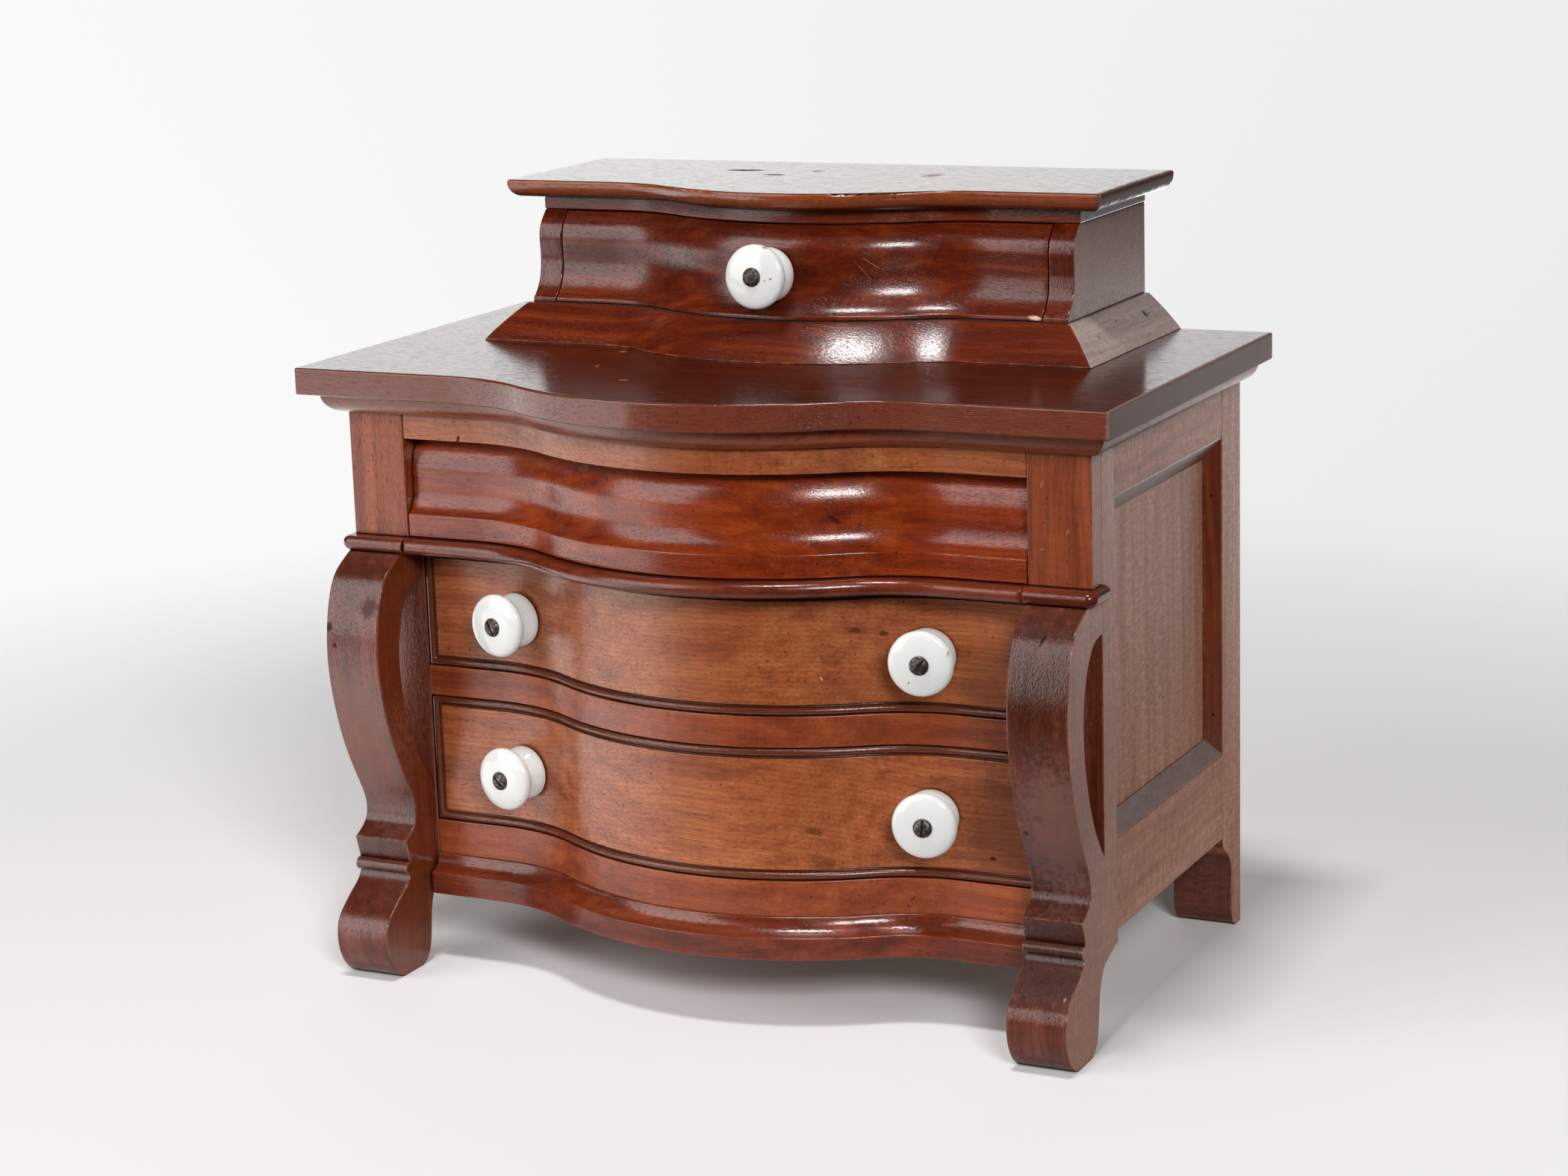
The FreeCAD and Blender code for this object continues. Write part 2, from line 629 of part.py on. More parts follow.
frieze_foot_z = 222.2
frieze_swell = [(4.1, 226.6), (5.8, 233.0)]
frieze_ogee = [(5.7, 238.0), (5.5, 243.0), (6.9, 249.0), (9.5, 254.0)]
frieze_ogee_top_inset = 12.6


def make_frieze_drawer():
    z0, z1 = waist_top_z + gap, frieze_rail_bottom_z - gap
    inset = frieze_front_thickness
    front = run_along(main_front, post_face_y, drawer_half, (0, z0), ("line", (0, frieze_foot_z)),
                      ("arc", *frieze_swell), ("curve", *frieze_ogee, (frieze_ogee_top_inset, z1)),
                      ("line", (inset, z1)), ("line", (inset, z0)))
    write("frieze_drawer_front", front)
    drawer_box("frieze", main_front, post_face_y, inset, drawer_half, z0 + 0.2, z1 - small_side_drop,
               main_drawer_back_y)


def make_upper_drawer():
    z0, z1 = box_bottom_z + gap, box_bed_z - gap
    inset = box_front_thickness
    front = run_along(box_front, box_ogee_y, box_drawer_half, (box_ogee_foot[0], z0),
                      ("line", box_ogee_foot), ("curve", *box_ogee, (box_ogee_top_inset - 0.4, z1)),
                      ("line", (inset, z1)), ("line", (inset, z0)))
    # the knob bears on the lower swell of the ogee, so it stands off a little and tips up
    tip = math.radians(box_knob_tip)
    outward = Vec(0, -math.cos(tip), math.sin(tip))
    base = Vec(0, box_ogee_y - box_bow + box_knob_inset, box_knob_z)
    grip = box_bolt_grip
    write("upper_drawer_front", front.cut(bolt_hole(base, outward, grip)))
    write("upper_drawer_knob", knob(base, outward))
    write("upper_drawer_bolt", knob_bolt(base, outward, grip, 177))
    drawer_box("upper", box_front, box_ogee_y, inset, box_drawer_half, z0, z1 - small_side_drop,
               box_drawer_back_y)


make_top()
make_front_frame()
make_scroll_legs()
make_rear_stiles()
make_sides()
make_back_and_bottom()
make_runners()
make_upper_box()
make_main_drawer("middle", mid_rail_top_z + gap, waist_bottom_z - gap, middle_knob_z, (107, 60))
make_main_drawer("bottom", lower_rail_top_z + gap, mid_rail_bottom_z - gap, bottom_knob_z, (125, 93))
make_frieze_drawer()
make_upper_drawer()
print(len(os.listdir("parts")), "files")
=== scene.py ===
import json
import math

import bpy
from mathutils import Matrix, Vector

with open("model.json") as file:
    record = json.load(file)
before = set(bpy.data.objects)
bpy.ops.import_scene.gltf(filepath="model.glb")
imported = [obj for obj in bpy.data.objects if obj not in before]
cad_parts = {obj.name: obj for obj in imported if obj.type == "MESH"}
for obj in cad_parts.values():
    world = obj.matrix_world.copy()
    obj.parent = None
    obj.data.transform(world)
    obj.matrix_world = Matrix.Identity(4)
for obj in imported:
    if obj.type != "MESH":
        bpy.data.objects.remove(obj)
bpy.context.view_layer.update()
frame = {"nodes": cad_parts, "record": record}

# Sewing thread drawer cabinet: worn edges, finishes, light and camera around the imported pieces.
# Lengths are in millimetres in the dictionaries of the finishes and the arrises, and in metres in
# those of the room, the lamps and the camera.
cadNodes = frame["nodes"]
slotOf = {part["node"]: part["material_slot"] for part in frame["record"]["subparts"]}
mm = 0.001
scene = bpy.context.scene
white = (1, 1, 1, 1)


def linear(hexColour):
    # sRGB hex to the linear colour a shader takes
    channels = [int(hexColour[i:i + 2], 16) / 255 for i in (0, 2, 4)]
    lin = [c / 12.92 if c <= 0.04045 else ((c + 0.055) / 1.055) ** 2.4 for c in channels]
    return (*lin, 1.0)


def addNode(tree, kind, settings=None, links=None, out=0):
    # adds one node; settings are its properties or free inputs, links are the sockets that feed it.
    # A colour mix takes its share at 0, the colour under at 6 and the colour over at 7, and gives out 2
    node = tree.nodes.new(kind)
    for key, value in (settings or {}).items():
        if key == "stops":
            elements = node.color_ramp.elements
            while len(elements) < len(value):
                elements.new(0.5)
            for element, (place, colour) in zip(elements, value):
                element.position = place
                element.color = colour
        elif isinstance(key, int) or key in node.inputs:
            node.inputs[key].default_value = value
        else:
            setattr(node, key, value)
    for key, source in (links or {}).items():
        tree.links.new(source, node.inputs[key])
    return node.outputs[out] if node.outputs else node


def newMaterial(name):
    material = bpy.data.materials.new(name)
    material.use_nodes = True
    material.node_tree.nodes.clear()
    return material, material.node_tree


# mahogany, sawn and scraped, stained red-brown and varnished: it shows fine straight lines and
# short dark pores under a gloss that has gone grainy, and it is rubbed at the arrises, with a painted
# highlight there and painted shade in the seams
mahoganyLook = {
    "deep": "4a1d12",        # dark, usual and pale streaks
    "body": "7c3a20",
    "warm": "a65c30",
    "wornAndGlint": "a8683c",
    "grimeAndShade": "170b07",
    "dust": "7f7873",
    "grain": "X",            # the way the board was cut
    "offset": (0, 0, 0),     # where in the tree it came from
    "drift": 12,             # how far the fibres wander, and over what length
    "driftGap": 120,
    "streak": 6.0,           # width of the broad streaks, and how many times longer they are
    "streakStretch": 22,
    "hair": 0.8,             # width of the fine lines
    "hairStretch": 60,
    "hairShade": 0.22,
    "hairDepth": 0.08,
    "ringGap": 4.5,          # growth rings on a flat-sawn face
    "ringShade": 0.0,
    "heart": (0, 22, 12),    # the heart of the tree beside the board, and its slant to it
    "heartSlant": 0.1,
    "pore": 0.34,            # real pores are 0.15 mm, drawn wider so that they show
    "poreStretch": 11,
    "poreShade": 0.34,
    "poreDepth": 0.03,
    "shimmer": 0.10,         # paler and darker bars across the grain
    "barGap": 3.5,
    "barStretch": 4,
    "blotch": 60.0,
    "blotchShade": 0.35,
    "nickGap": 2.1,          # small dark nicks
    "nickShade": 0.6,
    "patch": 7,              # the wear comes and goes in patches of this size
    "wearAndGlint": 0.4,
    "wearReach": 1.0,
    "wornFrom": 0.46,        # lower rubs more of the arris through
    "paintedSeamShade": 0.8,
    "seamShadeReach": 3.5,
    "dustShade": 0.0,        # share of dust in the seams that face the dust axis
    "dustAxis": (0, -0.3, 0.95),
    "coat": 1.0,
    "coatRoughness": 0.27,
    "roughness": 0.5,
    "ripple": 0.05,          # height of the broad waves in the varnish
    "rippleGap": 5,
    "graininess": 0.085,     # height of the fine waves the varnish has sunk into
    "grainyGap": 0.8,
    "grainyStretch": 3,
    "ragged": 2.5,           # size of the raggedness at the rim of a mark
    "marks": (),             # centre, half sizes, turn in degrees, colour and strength of each
    "stains": (),            # the same, where the gloss is whole
    "faceToneAndLight": None,        # another colour on the faces that look along an axis, much of it painted light and sheen
    "faceAxis": (1, 0, 0),
    "faceShare": 0.9,
    "faceCoat": 1.0,         # what is left of the gloss on those faces
    "beadTone": "4a1c0f",
    "beadShade": 0.85,
    "beadBox": None,         # height of the middle, half width and half height of the field in the bead
}
grainTurns = {"X": (0, 0, 0), "Y": (0, 0, math.radians(90)), "Z": (0, math.radians(90), 0)}
ringPeriod = 0.314           # width of one ring of the wave texture at a scale of 1


def addMarks(tree, colour, place, ragged, marks):
    # stains, chips and scratches are flattened balls set into the piece, ragged at the rim
    every = None
    for centre, reach, turn, markColour, strength in marks:
        ball = addNode(tree, "ShaderNodeMapping", {"vector_type": "TEXTURE",
                                                   "Location": [c * mm for c in centre],
                                                   "Rotation": [math.radians(t) for t in turn],
                                                   "Scale": [r * mm for r in reach]}, {"Vector": place})
        far = addNode(tree, "ShaderNodeVectorMath", {"operation": "LENGTH"}, {0: ball}, "Value")
        far = addNode(tree, "ShaderNodeMath", {"operation": "ADD"}, {0: far, 1: ragged})
        mask = addNode(tree, "ShaderNodeMapRange", {"From Min": 1.5, "From Max": 1.0, "To Max": strength},
                       {"Value": far})
        colour = addNode(tree, "ShaderNodeMix", {"data_type": "RGBA", 7: linear(markColour)},
                         {0: mask, 6: colour}, 2)
        if every:
            mask = addNode(tree, "ShaderNodeMath", {"operation": "MAXIMUM"}, {0: mask, 1: every})
        every = mask
    return colour, every


def boardFigure(tree, look, board, fibre, longFibre, hairs):
    # streaks, fine lines, shimmer, growth rings and blotches of the stain
    streaks = addNode(tree, "ShaderNodeTexNoise", {"Scale": 1 / look["streak"], "Detail": 5.0,
                                                   "Roughness": 0.6}, {"Vector": longFibre})
    colour = addNode(tree, "ShaderNodeValToRGB", {"stops": [(0.24, linear(look["deep"])),
                                                            (0.5, linear(look["body"])),
                                                            (0.78, linear(look["warm"]))]},
                     {"Fac": streaks})
    hairLevel = addNode(tree, "ShaderNodeMapRange", {"From Min": 0.3, "From Max": 0.65,
                                                     "To Min": 1 - look["hairShade"], "To Max": 1.0},
                        {"Value": hairs})
    squeeze = 1 / look["barStretch"]
    acrossFibre = addNode(tree, "ShaderNodeMapping", {"Scale": (1, squeeze, squeeze)}, {"Vector": fibre})
    bars = addNode(tree, "ShaderNodeTexNoise", {"Scale": 1 / look["barGap"], "Detail": 3.0},
                   {"Vector": acrossFibre})
    barLevel = addNode(tree, "ShaderNodeMapRange", {"From Min": 0.25, "From Max": 0.75,
                                                    "To Min": 1 - look["shimmer"],
                                                    "To Max": 1 + look["shimmer"]}, {"Value": bars})
    level = addNode(tree, "ShaderNodeMath", {"operation": "MULTIPLY"}, {0: hairLevel, 1: barLevel})
    colour = addNode(tree, "ShaderNodeVectorMath", {"operation": "SCALE"}, {0: colour, "Scale": level})
    if look["ringShade"]:
        heart = addNode(tree, "ShaderNodeMapping", {"Scale": (look["heartSlant"], 1, 1),
                                                    "Location": look["heart"]}, {"Vector": fibre})
        rings = addNode(tree, "ShaderNodeTexWave", {"wave_type": "RINGS", "rings_direction": "X",
                                                    "wave_profile": "SAW",
                                                    "Scale": ringPeriod / look["ringGap"],
                                                    "Distortion": 2.5, "Detail": 2.0, "Detail Scale": 0.6},
                        {"Vector": heart}, "Fac")
        ringMask = addNode(tree, "ShaderNodeMapRange", {"From Min": 0.55, "From Max": 0.98,
                                                        "To Max": look["ringShade"]}, {"Value": rings})
        colour = addNode(tree, "ShaderNodeMix", {"data_type": "RGBA", 7: linear(look["deep"])},
                         {0: ringMask, 6: colour}, 2)
    blotches = addNode(tree, "ShaderNodeTexNoise", {"Scale": 1 / look["blotch"], "Detail": 3.0,
                                                    "Roughness": 0.6}, {"Vector": board})
    blotchMask = addNode(tree, "ShaderNodeMapRange", {"From Min": 0.48, "From Max": 0.72,
                                                      "To Max": look["blotchShade"]}, {"Value": blotches})
    colour = addNode(tree, "ShaderNodeMix", {"data_type": "RGBA", 7: linear(look["deep"])},
                     {0: blotchMask, 6: colour}, 2)
    return colour, level


def toneAndLightFaces(tree, look, colour, level):
    # the faces that look along the axis get another colour, on rims and right faces a painted light and sheen
    facing = addNode(tree, "ShaderNodeNewGeometry", out="Normal")
    along = addNode(tree, "ShaderNodeVectorMath", {"operation": "DOT_PRODUCT", 1: look["faceAxis"]},
                    {0: facing}, "Value")
    toneAndLightMask = addNode(tree, "ShaderNodeMapRange", {"From Min": 0.55, "From Max": 0.8,
                                                  "To Max": look["faceShare"]}, {"Value": along})
    plain = addNode(tree, "ShaderNodeRGB")
    plain.node.outputs[0].default_value = linear(look["faceToneAndLight"])
    lined = addNode(tree, "ShaderNodeVectorMath", {"operation": "SCALE"}, {0: plain, "Scale": level})
    colour = addNode(tree, "ShaderNodeMix", {"data_type": "RGBA"}, {0: toneAndLightMask, 6: colour, 7: lined}, 2)
    return colour, toneAndLightMask


def darkenBead(tree, look, colour, place):
    # the bead round the drawer has kept more of its dark polish than the field
    height, halfWide, halfHigh = look["beadBox"]
    fromField = addNode(tree, "ShaderNodeMapping", {"Location": (0, 0, -height), "Scale": (1 / mm,) * 3},
                        {"Vector": place})
    folded = addNode(tree, "ShaderNodeVectorMath", {"operation": "ABSOLUTE"}, {0: fromField})
    anyDepth = 999
    past = addNode(tree, "ShaderNodeVectorMath", {"operation": "SUBTRACT",
                                                  1: (halfWide, anyDepth, halfHigh)}, {0: folded})
    sides = addNode(tree, "ShaderNodeSeparateXYZ", links={0: past})
    outermost = addNode(tree, "ShaderNodeMath", {"operation": "MAXIMUM"},
                        {0: sides, 1: sides.node.outputs["Z"]})
    beadMask = addNode(tree, "ShaderNodeMapRange", {"From Min": -0.4, "From Max": 0.5,
                                                    "To Max": look["beadShade"]}, {"Value": outermost})
    return addNode(tree, "ShaderNodeMix", {"data_type": "RGBA", 7: linear(look["beadTone"])},
                   {0: beadMask, 6: colour}, 2)


def rubGlintAndShade(tree, look, colour, patches):
    # arrises rubbed through to paler wood, in patches; the paler colour also paints a highlight along them
    inner = addNode(tree, "ShaderNodeAmbientOcclusion", {"inside": True, "only_local": True, "samples": 4,
                                                         "Distance": look["wearReach"] * mm}, out="AO")
    edge = addNode(tree, "ShaderNodeMapRange", {"From Min": 0.88, "From Max": 0.5}, {"Value": inner})
    patchMask = addNode(tree, "ShaderNodeMapRange", {"From Min": look["wornFrom"],
                                                     "From Max": look["wornFrom"] + 0.16},
                        {"Value": patches})
    wornAndGlint = addNode(tree, "ShaderNodeMath", {"operation": "MULTIPLY"}, {0: edge, 1: patchMask})
    wornAndGlint = addNode(tree, "ShaderNodeMath", {"operation": "MULTIPLY", 1: look["wearAndGlint"]}, {0: wornAndGlint})
    colour = addNode(tree, "ShaderNodeMix", {"data_type": "RGBA", 7: linear(look["wornAndGlint"])},
                     {0: wornAndGlint, 6: colour}, 2)
    # quirks and seams darkened where occlusion is high: painted shade, with black old polish and grey dust on
    # the ledges
    outer = addNode(tree, "ShaderNodeAmbientOcclusion", {"samples": 4, "Distance": look["seamShadeReach"] * mm},
                    out="AO")
    seamShadeMask = addNode(tree, "ShaderNodeMapRange", {"From Min": 0.72, "From Max": 0.3,
                                                "To Max": look["paintedSeamShade"]}, {"Value": outer})
    grimeAndShade = addNode(tree, "ShaderNodeRGB")
    grimeAndShade.node.outputs[0].default_value = linear(look["grimeAndShade"])
    if look["dustShade"]:
        facing = addNode(tree, "ShaderNodeNewGeometry", out="Normal")
        upward = addNode(tree, "ShaderNodeVectorMath", {"operation": "DOT_PRODUCT", 1: look["dustAxis"]},
                         {0: facing}, "Value")
        ledge = addNode(tree, "ShaderNodeMapRange", {"From Min": 0.3, "From Max": 0.7,
                                                     "To Max": look["dustShade"]}, {"Value": upward})
        grimeAndShade = addNode(tree, "ShaderNodeMix", {"data_type": "RGBA", 7: linear(look["dust"])},
                        {0: ledge, 6: grimeAndShade}, 2)
    colour = addNode(tree, "ShaderNodeMix", {"data_type": "RGBA"}, {0: seamShadeMask, 6: colour, 7: grimeAndShade}, 2)
    return colour, wornAndGlint, seamShadeMask


def mahogany(name, **changes):
    look = {**mahoganyLook, **changes}
    material, tree = newMaterial(name)
    place = addNode(tree, "ShaderNodeTexCoord", out="Object")
    board = addNode(tree, "ShaderNodeMapping", {"Scale": (1 / mm,) * 3, "Location": look["offset"],
                                                "Rotation": grainTurns[look["grain"]]},
                    {"Vector": place})
    drift = addNode(tree, "ShaderNodeTexNoise", {"Scale": 1 / look["driftGap"], "Detail": 2.0},
                    {"Vector": board}, "Color")
    drift = addNode(tree, "ShaderNodeVectorMath", {"operation": "SUBTRACT", 1: (0.5, 0.5, 0.5)}, {0: drift})
    drift = addNode(tree, "ShaderNodeVectorMath", {"operation": "MULTIPLY",
                                                   1: (0, look["drift"], look["drift"])}, {0: drift})
    fibre = addNode(tree, "ShaderNodeVectorMath", {"operation": "ADD"}, {0: board, 1: drift})
    longFibre, hairFibre, poreFibre, shortFibre = [
        addNode(tree, "ShaderNodeMapping", {"Scale": (1 / look[stretch], 1, 1)}, {"Vector": fibre})
        for stretch in ("streakStretch", "hairStretch", "poreStretch", "grainyStretch")]
    hairs = addNode(tree, "ShaderNodeTexNoise", {"Scale": 1 / look["hair"], "Detail": 2.0},
                    {"Vector": hairFibre})
    pores = addNode(tree, "ShaderNodeTexNoise", {"Scale": 1 / look["pore"], "Detail": 1.0},
                    {"Vector": poreFibre})
    poreMask = addNode(tree, "ShaderNodeMapRange", {"From Min": 0.58, "From Max": 0.70}, {"Value": pores})
    ragged = addNode(tree, "ShaderNodeTexNoise", {"Scale": 1 / look["ragged"], "Detail": 3.0},
                     {"Vector": board})

    colour, level = boardFigure(tree, look, board, fibre, longFibre, hairs)
    colour, _ = addMarks(tree, colour, place, ragged, look["stains"])
    toneAndLightMask = None
    if look["faceToneAndLight"]:
        colour, toneAndLightMask = toneAndLightFaces(tree, look, colour, level)
    if look["beadBox"]:
        colour = darkenBead(tree, look, colour, place)
    poreShade = addNode(tree, "ShaderNodeMath", {"operation": "MULTIPLY", 1: look["poreShade"]},
                        {0: poreMask})
    colour = addNode(tree, "ShaderNodeMix", {"data_type": "RGBA", 7: linear(look["grimeAndShade"])},
                     {0: poreShade, 6: colour}, 2)
    nicks = addNode(tree, "ShaderNodeTexNoise", {"Scale": 1 / look["nickGap"], "Detail": 1.0},
                    {"Vector": board})
    nickMask = addNode(tree, "ShaderNodeMapRange", {"From Min": 0.72, "From Max": 0.76,
                                                    "To Max": look["nickShade"]}, {"Value": nicks})
    colour = addNode(tree, "ShaderNodeMix", {"data_type": "RGBA", 7: linear(look["grimeAndShade"])},
                     {0: nickMask, 6: colour}, 2)
    colour, marked = addMarks(tree, colour, place, ragged, look["marks"])
    patches = addNode(tree, "ShaderNodeTexNoise", {"Scale": 1 / look["patch"], "Detail": 4.0,
                                                   "Roughness": 0.65}, {"Vector": board})
    colour, wornAndGlint, seamShadeMask = rubGlintAndShade(tree, look, colour, patches)

    # broad waves in the varnish, fine waves along the grain, and open pores
    ripples = addNode(tree, "ShaderNodeTexNoise", {"Scale": 1 / look["rippleGap"], "Detail": 3.0,
                                                   "Roughness": 0.5}, {"Vector": longFibre})
    waves = addNode(tree, "ShaderNodeTexNoise", {"Scale": 1 / look["grainyGap"], "Detail": 2.0,
                                                 "Roughness": 0.6}, {"Vector": shortFibre})
    bump = addNode(tree, "ShaderNodeBump", {"Distance": look["ripple"] * mm, "Strength": 1.0},
                   {"Height": ripples}, "Normal")
    bump = addNode(tree, "ShaderNodeBump", {"Distance": look["graininess"] * mm, "Strength": 1.0},
                   {"Height": waves, "Normal": bump}, "Normal")
    coatBump = addNode(tree, "ShaderNodeBump", {"Distance": look["poreDepth"] * mm, "Strength": 1.0,
                                                "invert": True},
                       {"Height": poreMask, "Normal": bump}, "Normal")
    woodBump = addNode(tree, "ShaderNodeBump", {"Distance": look["hairDepth"] * mm, "Strength": 1.0},
                       {"Height": hairs, "Normal": coatBump}, "Normal")
    dullness = addNode(tree, "ShaderNodeMapRange", {"To Min": look["roughness"] - 0.08,
                                                    "To Max": look["roughness"] + 0.16}, {"Value": patches})
    # the varnish has gone on rubbed arrises, shaded seams, marks and toned faces, and in the pores
    lost = addNode(tree, "ShaderNodeMath", {"operation": "MAXIMUM"}, {0: wornAndGlint, 1: seamShadeMask})
    lost = addNode(tree, "ShaderNodeMath", {"operation": "MAXIMUM"}, {0: lost, 1: poreShade})
    if marked:
        lost = addNode(tree, "ShaderNodeMath", {"operation": "MAXIMUM"}, {0: lost, 1: marked})
    if toneAndLightMask:
        duller = addNode(tree, "ShaderNodeMath", {"operation": "MULTIPLY", 1: 1 - look["faceCoat"]},
                         {0: toneAndLightMask})
        lost = addNode(tree, "ShaderNodeMath", {"operation": "MAXIMUM"}, {0: lost, 1: duller})
    coatLeft = addNode(tree, "ShaderNodeMath", {"operation": "MULTIPLY_ADD",
                                                1: -look["coat"], 2: look["coat"]}, {0: lost})
    surface = addNode(tree, "ShaderNodeBsdfPrincipled", {"IOR": 1.5, "Specular IOR Level": 0.0,
                                                         "Coat Roughness": look["coatRoughness"],
                                                         "Coat IOR": 1.5},
                      {"Base Color": colour, "Roughness": dullness, "Normal": woodBump,
                       "Coat Weight": coatLeft, "Coat Normal": coatBump}, "BSDF")
    addNode(tree, "ShaderNodeOutputMaterial", links={"Surface": surface})
    return material


# poplar, planed and left bare: pale, faintly green-brown, with a dull face that has darkened
poplarLook = {
    "pale": "b89468", "brown": "94704b", "dark": "6d5136", "dirtAndShade": "2b1d12",
    "streak": 9.0,           # width of the streaks, and how many times longer they are
    "stretch": 20,
    "hair": 0.9,
    "hairShade": 0.75,
    "hairDepth": 0.12,
    "stain": 45,
    "age": 0.3,              # share of the dark stains
    "dirtAndShadeReach": 8,
    "roughness": 0.72,
}


def poplar(name, grain, offset):
    look = poplarLook
    material, tree = newMaterial(name)
    place = addNode(tree, "ShaderNodeTexCoord", out="Object")
    board = addNode(tree, "ShaderNodeMapping", {"Scale": (1 / mm,) * 3, "Rotation": grainTurns[grain],
                                                "Location": offset}, {"Vector": place})
    longFibre = addNode(tree, "ShaderNodeMapping", {"Scale": (1 / look["stretch"], 1, 1)},
                        {"Vector": board})
    streaks = addNode(tree, "ShaderNodeTexNoise", {"Scale": 1 / look["streak"], "Detail": 5.0,
                                                   "Roughness": 0.6, "Distortion": 0.6},
                      {"Vector": longFibre})
    colour = addNode(tree, "ShaderNodeValToRGB", {"stops": [(0.3, linear(look["dark"])),
                                                            (0.5, linear(look["brown"])),
                                                            (0.68, linear(look["pale"]))]},
                     {"Fac": streaks})
    hairs = addNode(tree, "ShaderNodeTexNoise", {"Scale": 1 / look["hair"], "Detail": 2.0},
                    {"Vector": longFibre})
    hairColour = (look["hairShade"],) * 3 + (1,)
    hairShade = addNode(tree, "ShaderNodeValToRGB", {"stops": [(0.3, hairColour), (0.6, white)]},
                        {"Fac": hairs})
    colour = addNode(tree, "ShaderNodeMix", {"data_type": "RGBA", "blend_type": "MULTIPLY", 0: 0.8},
                     {6: colour, 7: hairShade}, 2)
    stains = addNode(tree, "ShaderNodeTexNoise", {"Scale": 1 / look["stain"], "Detail": 4.0},
                     {"Vector": board})
    stainMask = addNode(tree, "ShaderNodeMapRange", {"From Min": 0.45, "From Max": 0.75,
                                                     "To Max": look["age"]}, {"Value": stains})
    colour = addNode(tree, "ShaderNodeMix", {"data_type": "RGBA", 7: linear(look["dark"])},
                     {0: stainMask, 6: colour}, 2)
    # darker in the hollows and corners, found by occlusion: dirt, with painted shade
    hollow = addNode(tree, "ShaderNodeAmbientOcclusion", {"samples": 5,
                                                          "Distance": look["dirtAndShadeReach"] * mm}, out="AO")
    dirtAndShade = addNode(tree, "ShaderNodeMapRange", {"From Min": 0.7, "From Max": 0.3, "To Max": 0.6},
                   {"Value": hollow})
    colour = addNode(tree, "ShaderNodeMix", {"data_type": "RGBA", 7: linear(look["dirtAndShade"])},
                     {0: dirtAndShade, 6: colour}, 2)
    bump = addNode(tree, "ShaderNodeBump", {"Distance": look["hairDepth"] * mm}, {"Height": hairs}, "Normal")
    surface = addNode(tree, "ShaderNodeBsdfPrincipled", {"IOR": 1.5, "Roughness": look["roughness"]},
                      {"Base Color": colour, "Normal": bump}, "BSDF")
    addNode(tree, "ShaderNodeOutputMaterial", links={"Surface": surface})
    return material


# porcelain, turned and glazed white: a hard wet gloss, with rust weeping from the bolt and
# brown dirt and painted shade where the knob meets the wood
porcelainLook = {
    "glaze": "d8d8d5", "shade": "d1d1cd", "rust": "8a4a26", "dirtAndShade": "6f6353",
    "cloud": 14,             # size of the faint clouds in the glaze
    "speckGap": 1.3,
    "speckShade": 0.7,
    "ragged": 0.7,
    "seamReach": 2.4,
    "seamShade": 0.75,
    "wave": 7,               # the glaze is uneven over this length, by this depth
    "waveDepth": 0.05,
    "roughness": 0.08,
}


def porcelain(name, marks):
    look = porcelainLook
    material, tree = newMaterial(name)
    place = addNode(tree, "ShaderNodeTexCoord", out="Object")
    inMm = addNode(tree, "ShaderNodeMapping", {"Scale": (1 / mm,) * 3}, {"Vector": place})
    clouds = addNode(tree, "ShaderNodeTexNoise", {"Scale": 1 / look["cloud"], "Detail": 2.0},
                     {"Vector": inMm})
    colour = addNode(tree, "ShaderNodeValToRGB", {"stops": [(0.3, linear(look["shade"])),
                                                            (0.7, linear(look["glaze"]))]},
                     {"Fac": clouds})
    specks = addNode(tree, "ShaderNodeTexNoise", {"Scale": 1 / look["speckGap"], "Detail": 1.0},
                     {"Vector": inMm})
    speckMask = addNode(tree, "ShaderNodeMapRange", {"From Min": 0.78, "From Max": 0.81,
                                                     "To Max": look["speckShade"]}, {"Value": specks})
    colour = addNode(tree, "ShaderNodeMix", {"data_type": "RGBA", 7: linear(look["rust"])},
                     {0: speckMask, 6: colour}, 2)
    ragged = addNode(tree, "ShaderNodeTexNoise", {"Scale": 1 / look["ragged"], "Detail": 2.0},
                     {"Vector": inMm})
    colour, _ = addMarks(tree, colour, place, ragged, marks)
    # darker where the knob meets the wood, found by occlusion: dirt, with painted shade
    hollow = addNode(tree, "ShaderNodeAmbientOcclusion", {"samples": 4,
                                                          "Distance": look["seamReach"] * mm}, out="AO")
    ring = addNode(tree, "ShaderNodeMapRange", {"From Min": 0.6, "From Max": 0.25,
                                                "To Max": look["seamShade"]}, {"Value": hollow})
    colour = addNode(tree, "ShaderNodeMix", {"data_type": "RGBA", 7: linear(look["dirtAndShade"])},
                     {0: ring, 6: colour}, 2)
    waves = addNode(tree, "ShaderNodeTexNoise", {"Scale": 1 / look["wave"]}, {"Vector": inMm})
    bump = addNode(tree, "ShaderNodeBump", {"Distance": look["waveDepth"] * mm}, {"Height": waves}, "Normal")
    surface = addNode(tree, "ShaderNodeBsdfPrincipled", {"IOR": 1.5, "Roughness": look["roughness"]},
                      {"Base Color": colour, "Normal": bump}, "BSDF")
    addNode(tree, "ShaderNodeOutputMaterial", links={"Surface": surface})
    return material


# iron bolts, cast and filed, gone dark: a dull grey-brown head with brighter rubbed high spots
ironLook = {
    "dark": "3b3835", "bright": "77716a", "rust": "5d3a25",
    "cloud": 1.4,            # size of the rusty and rubbed patches
    "depth": 0.12,
    "dull": 0.62,            # roughness in the rust and on the rubbed spots
    "rubbed": 0.34,
    "metallic": 0.9,
}


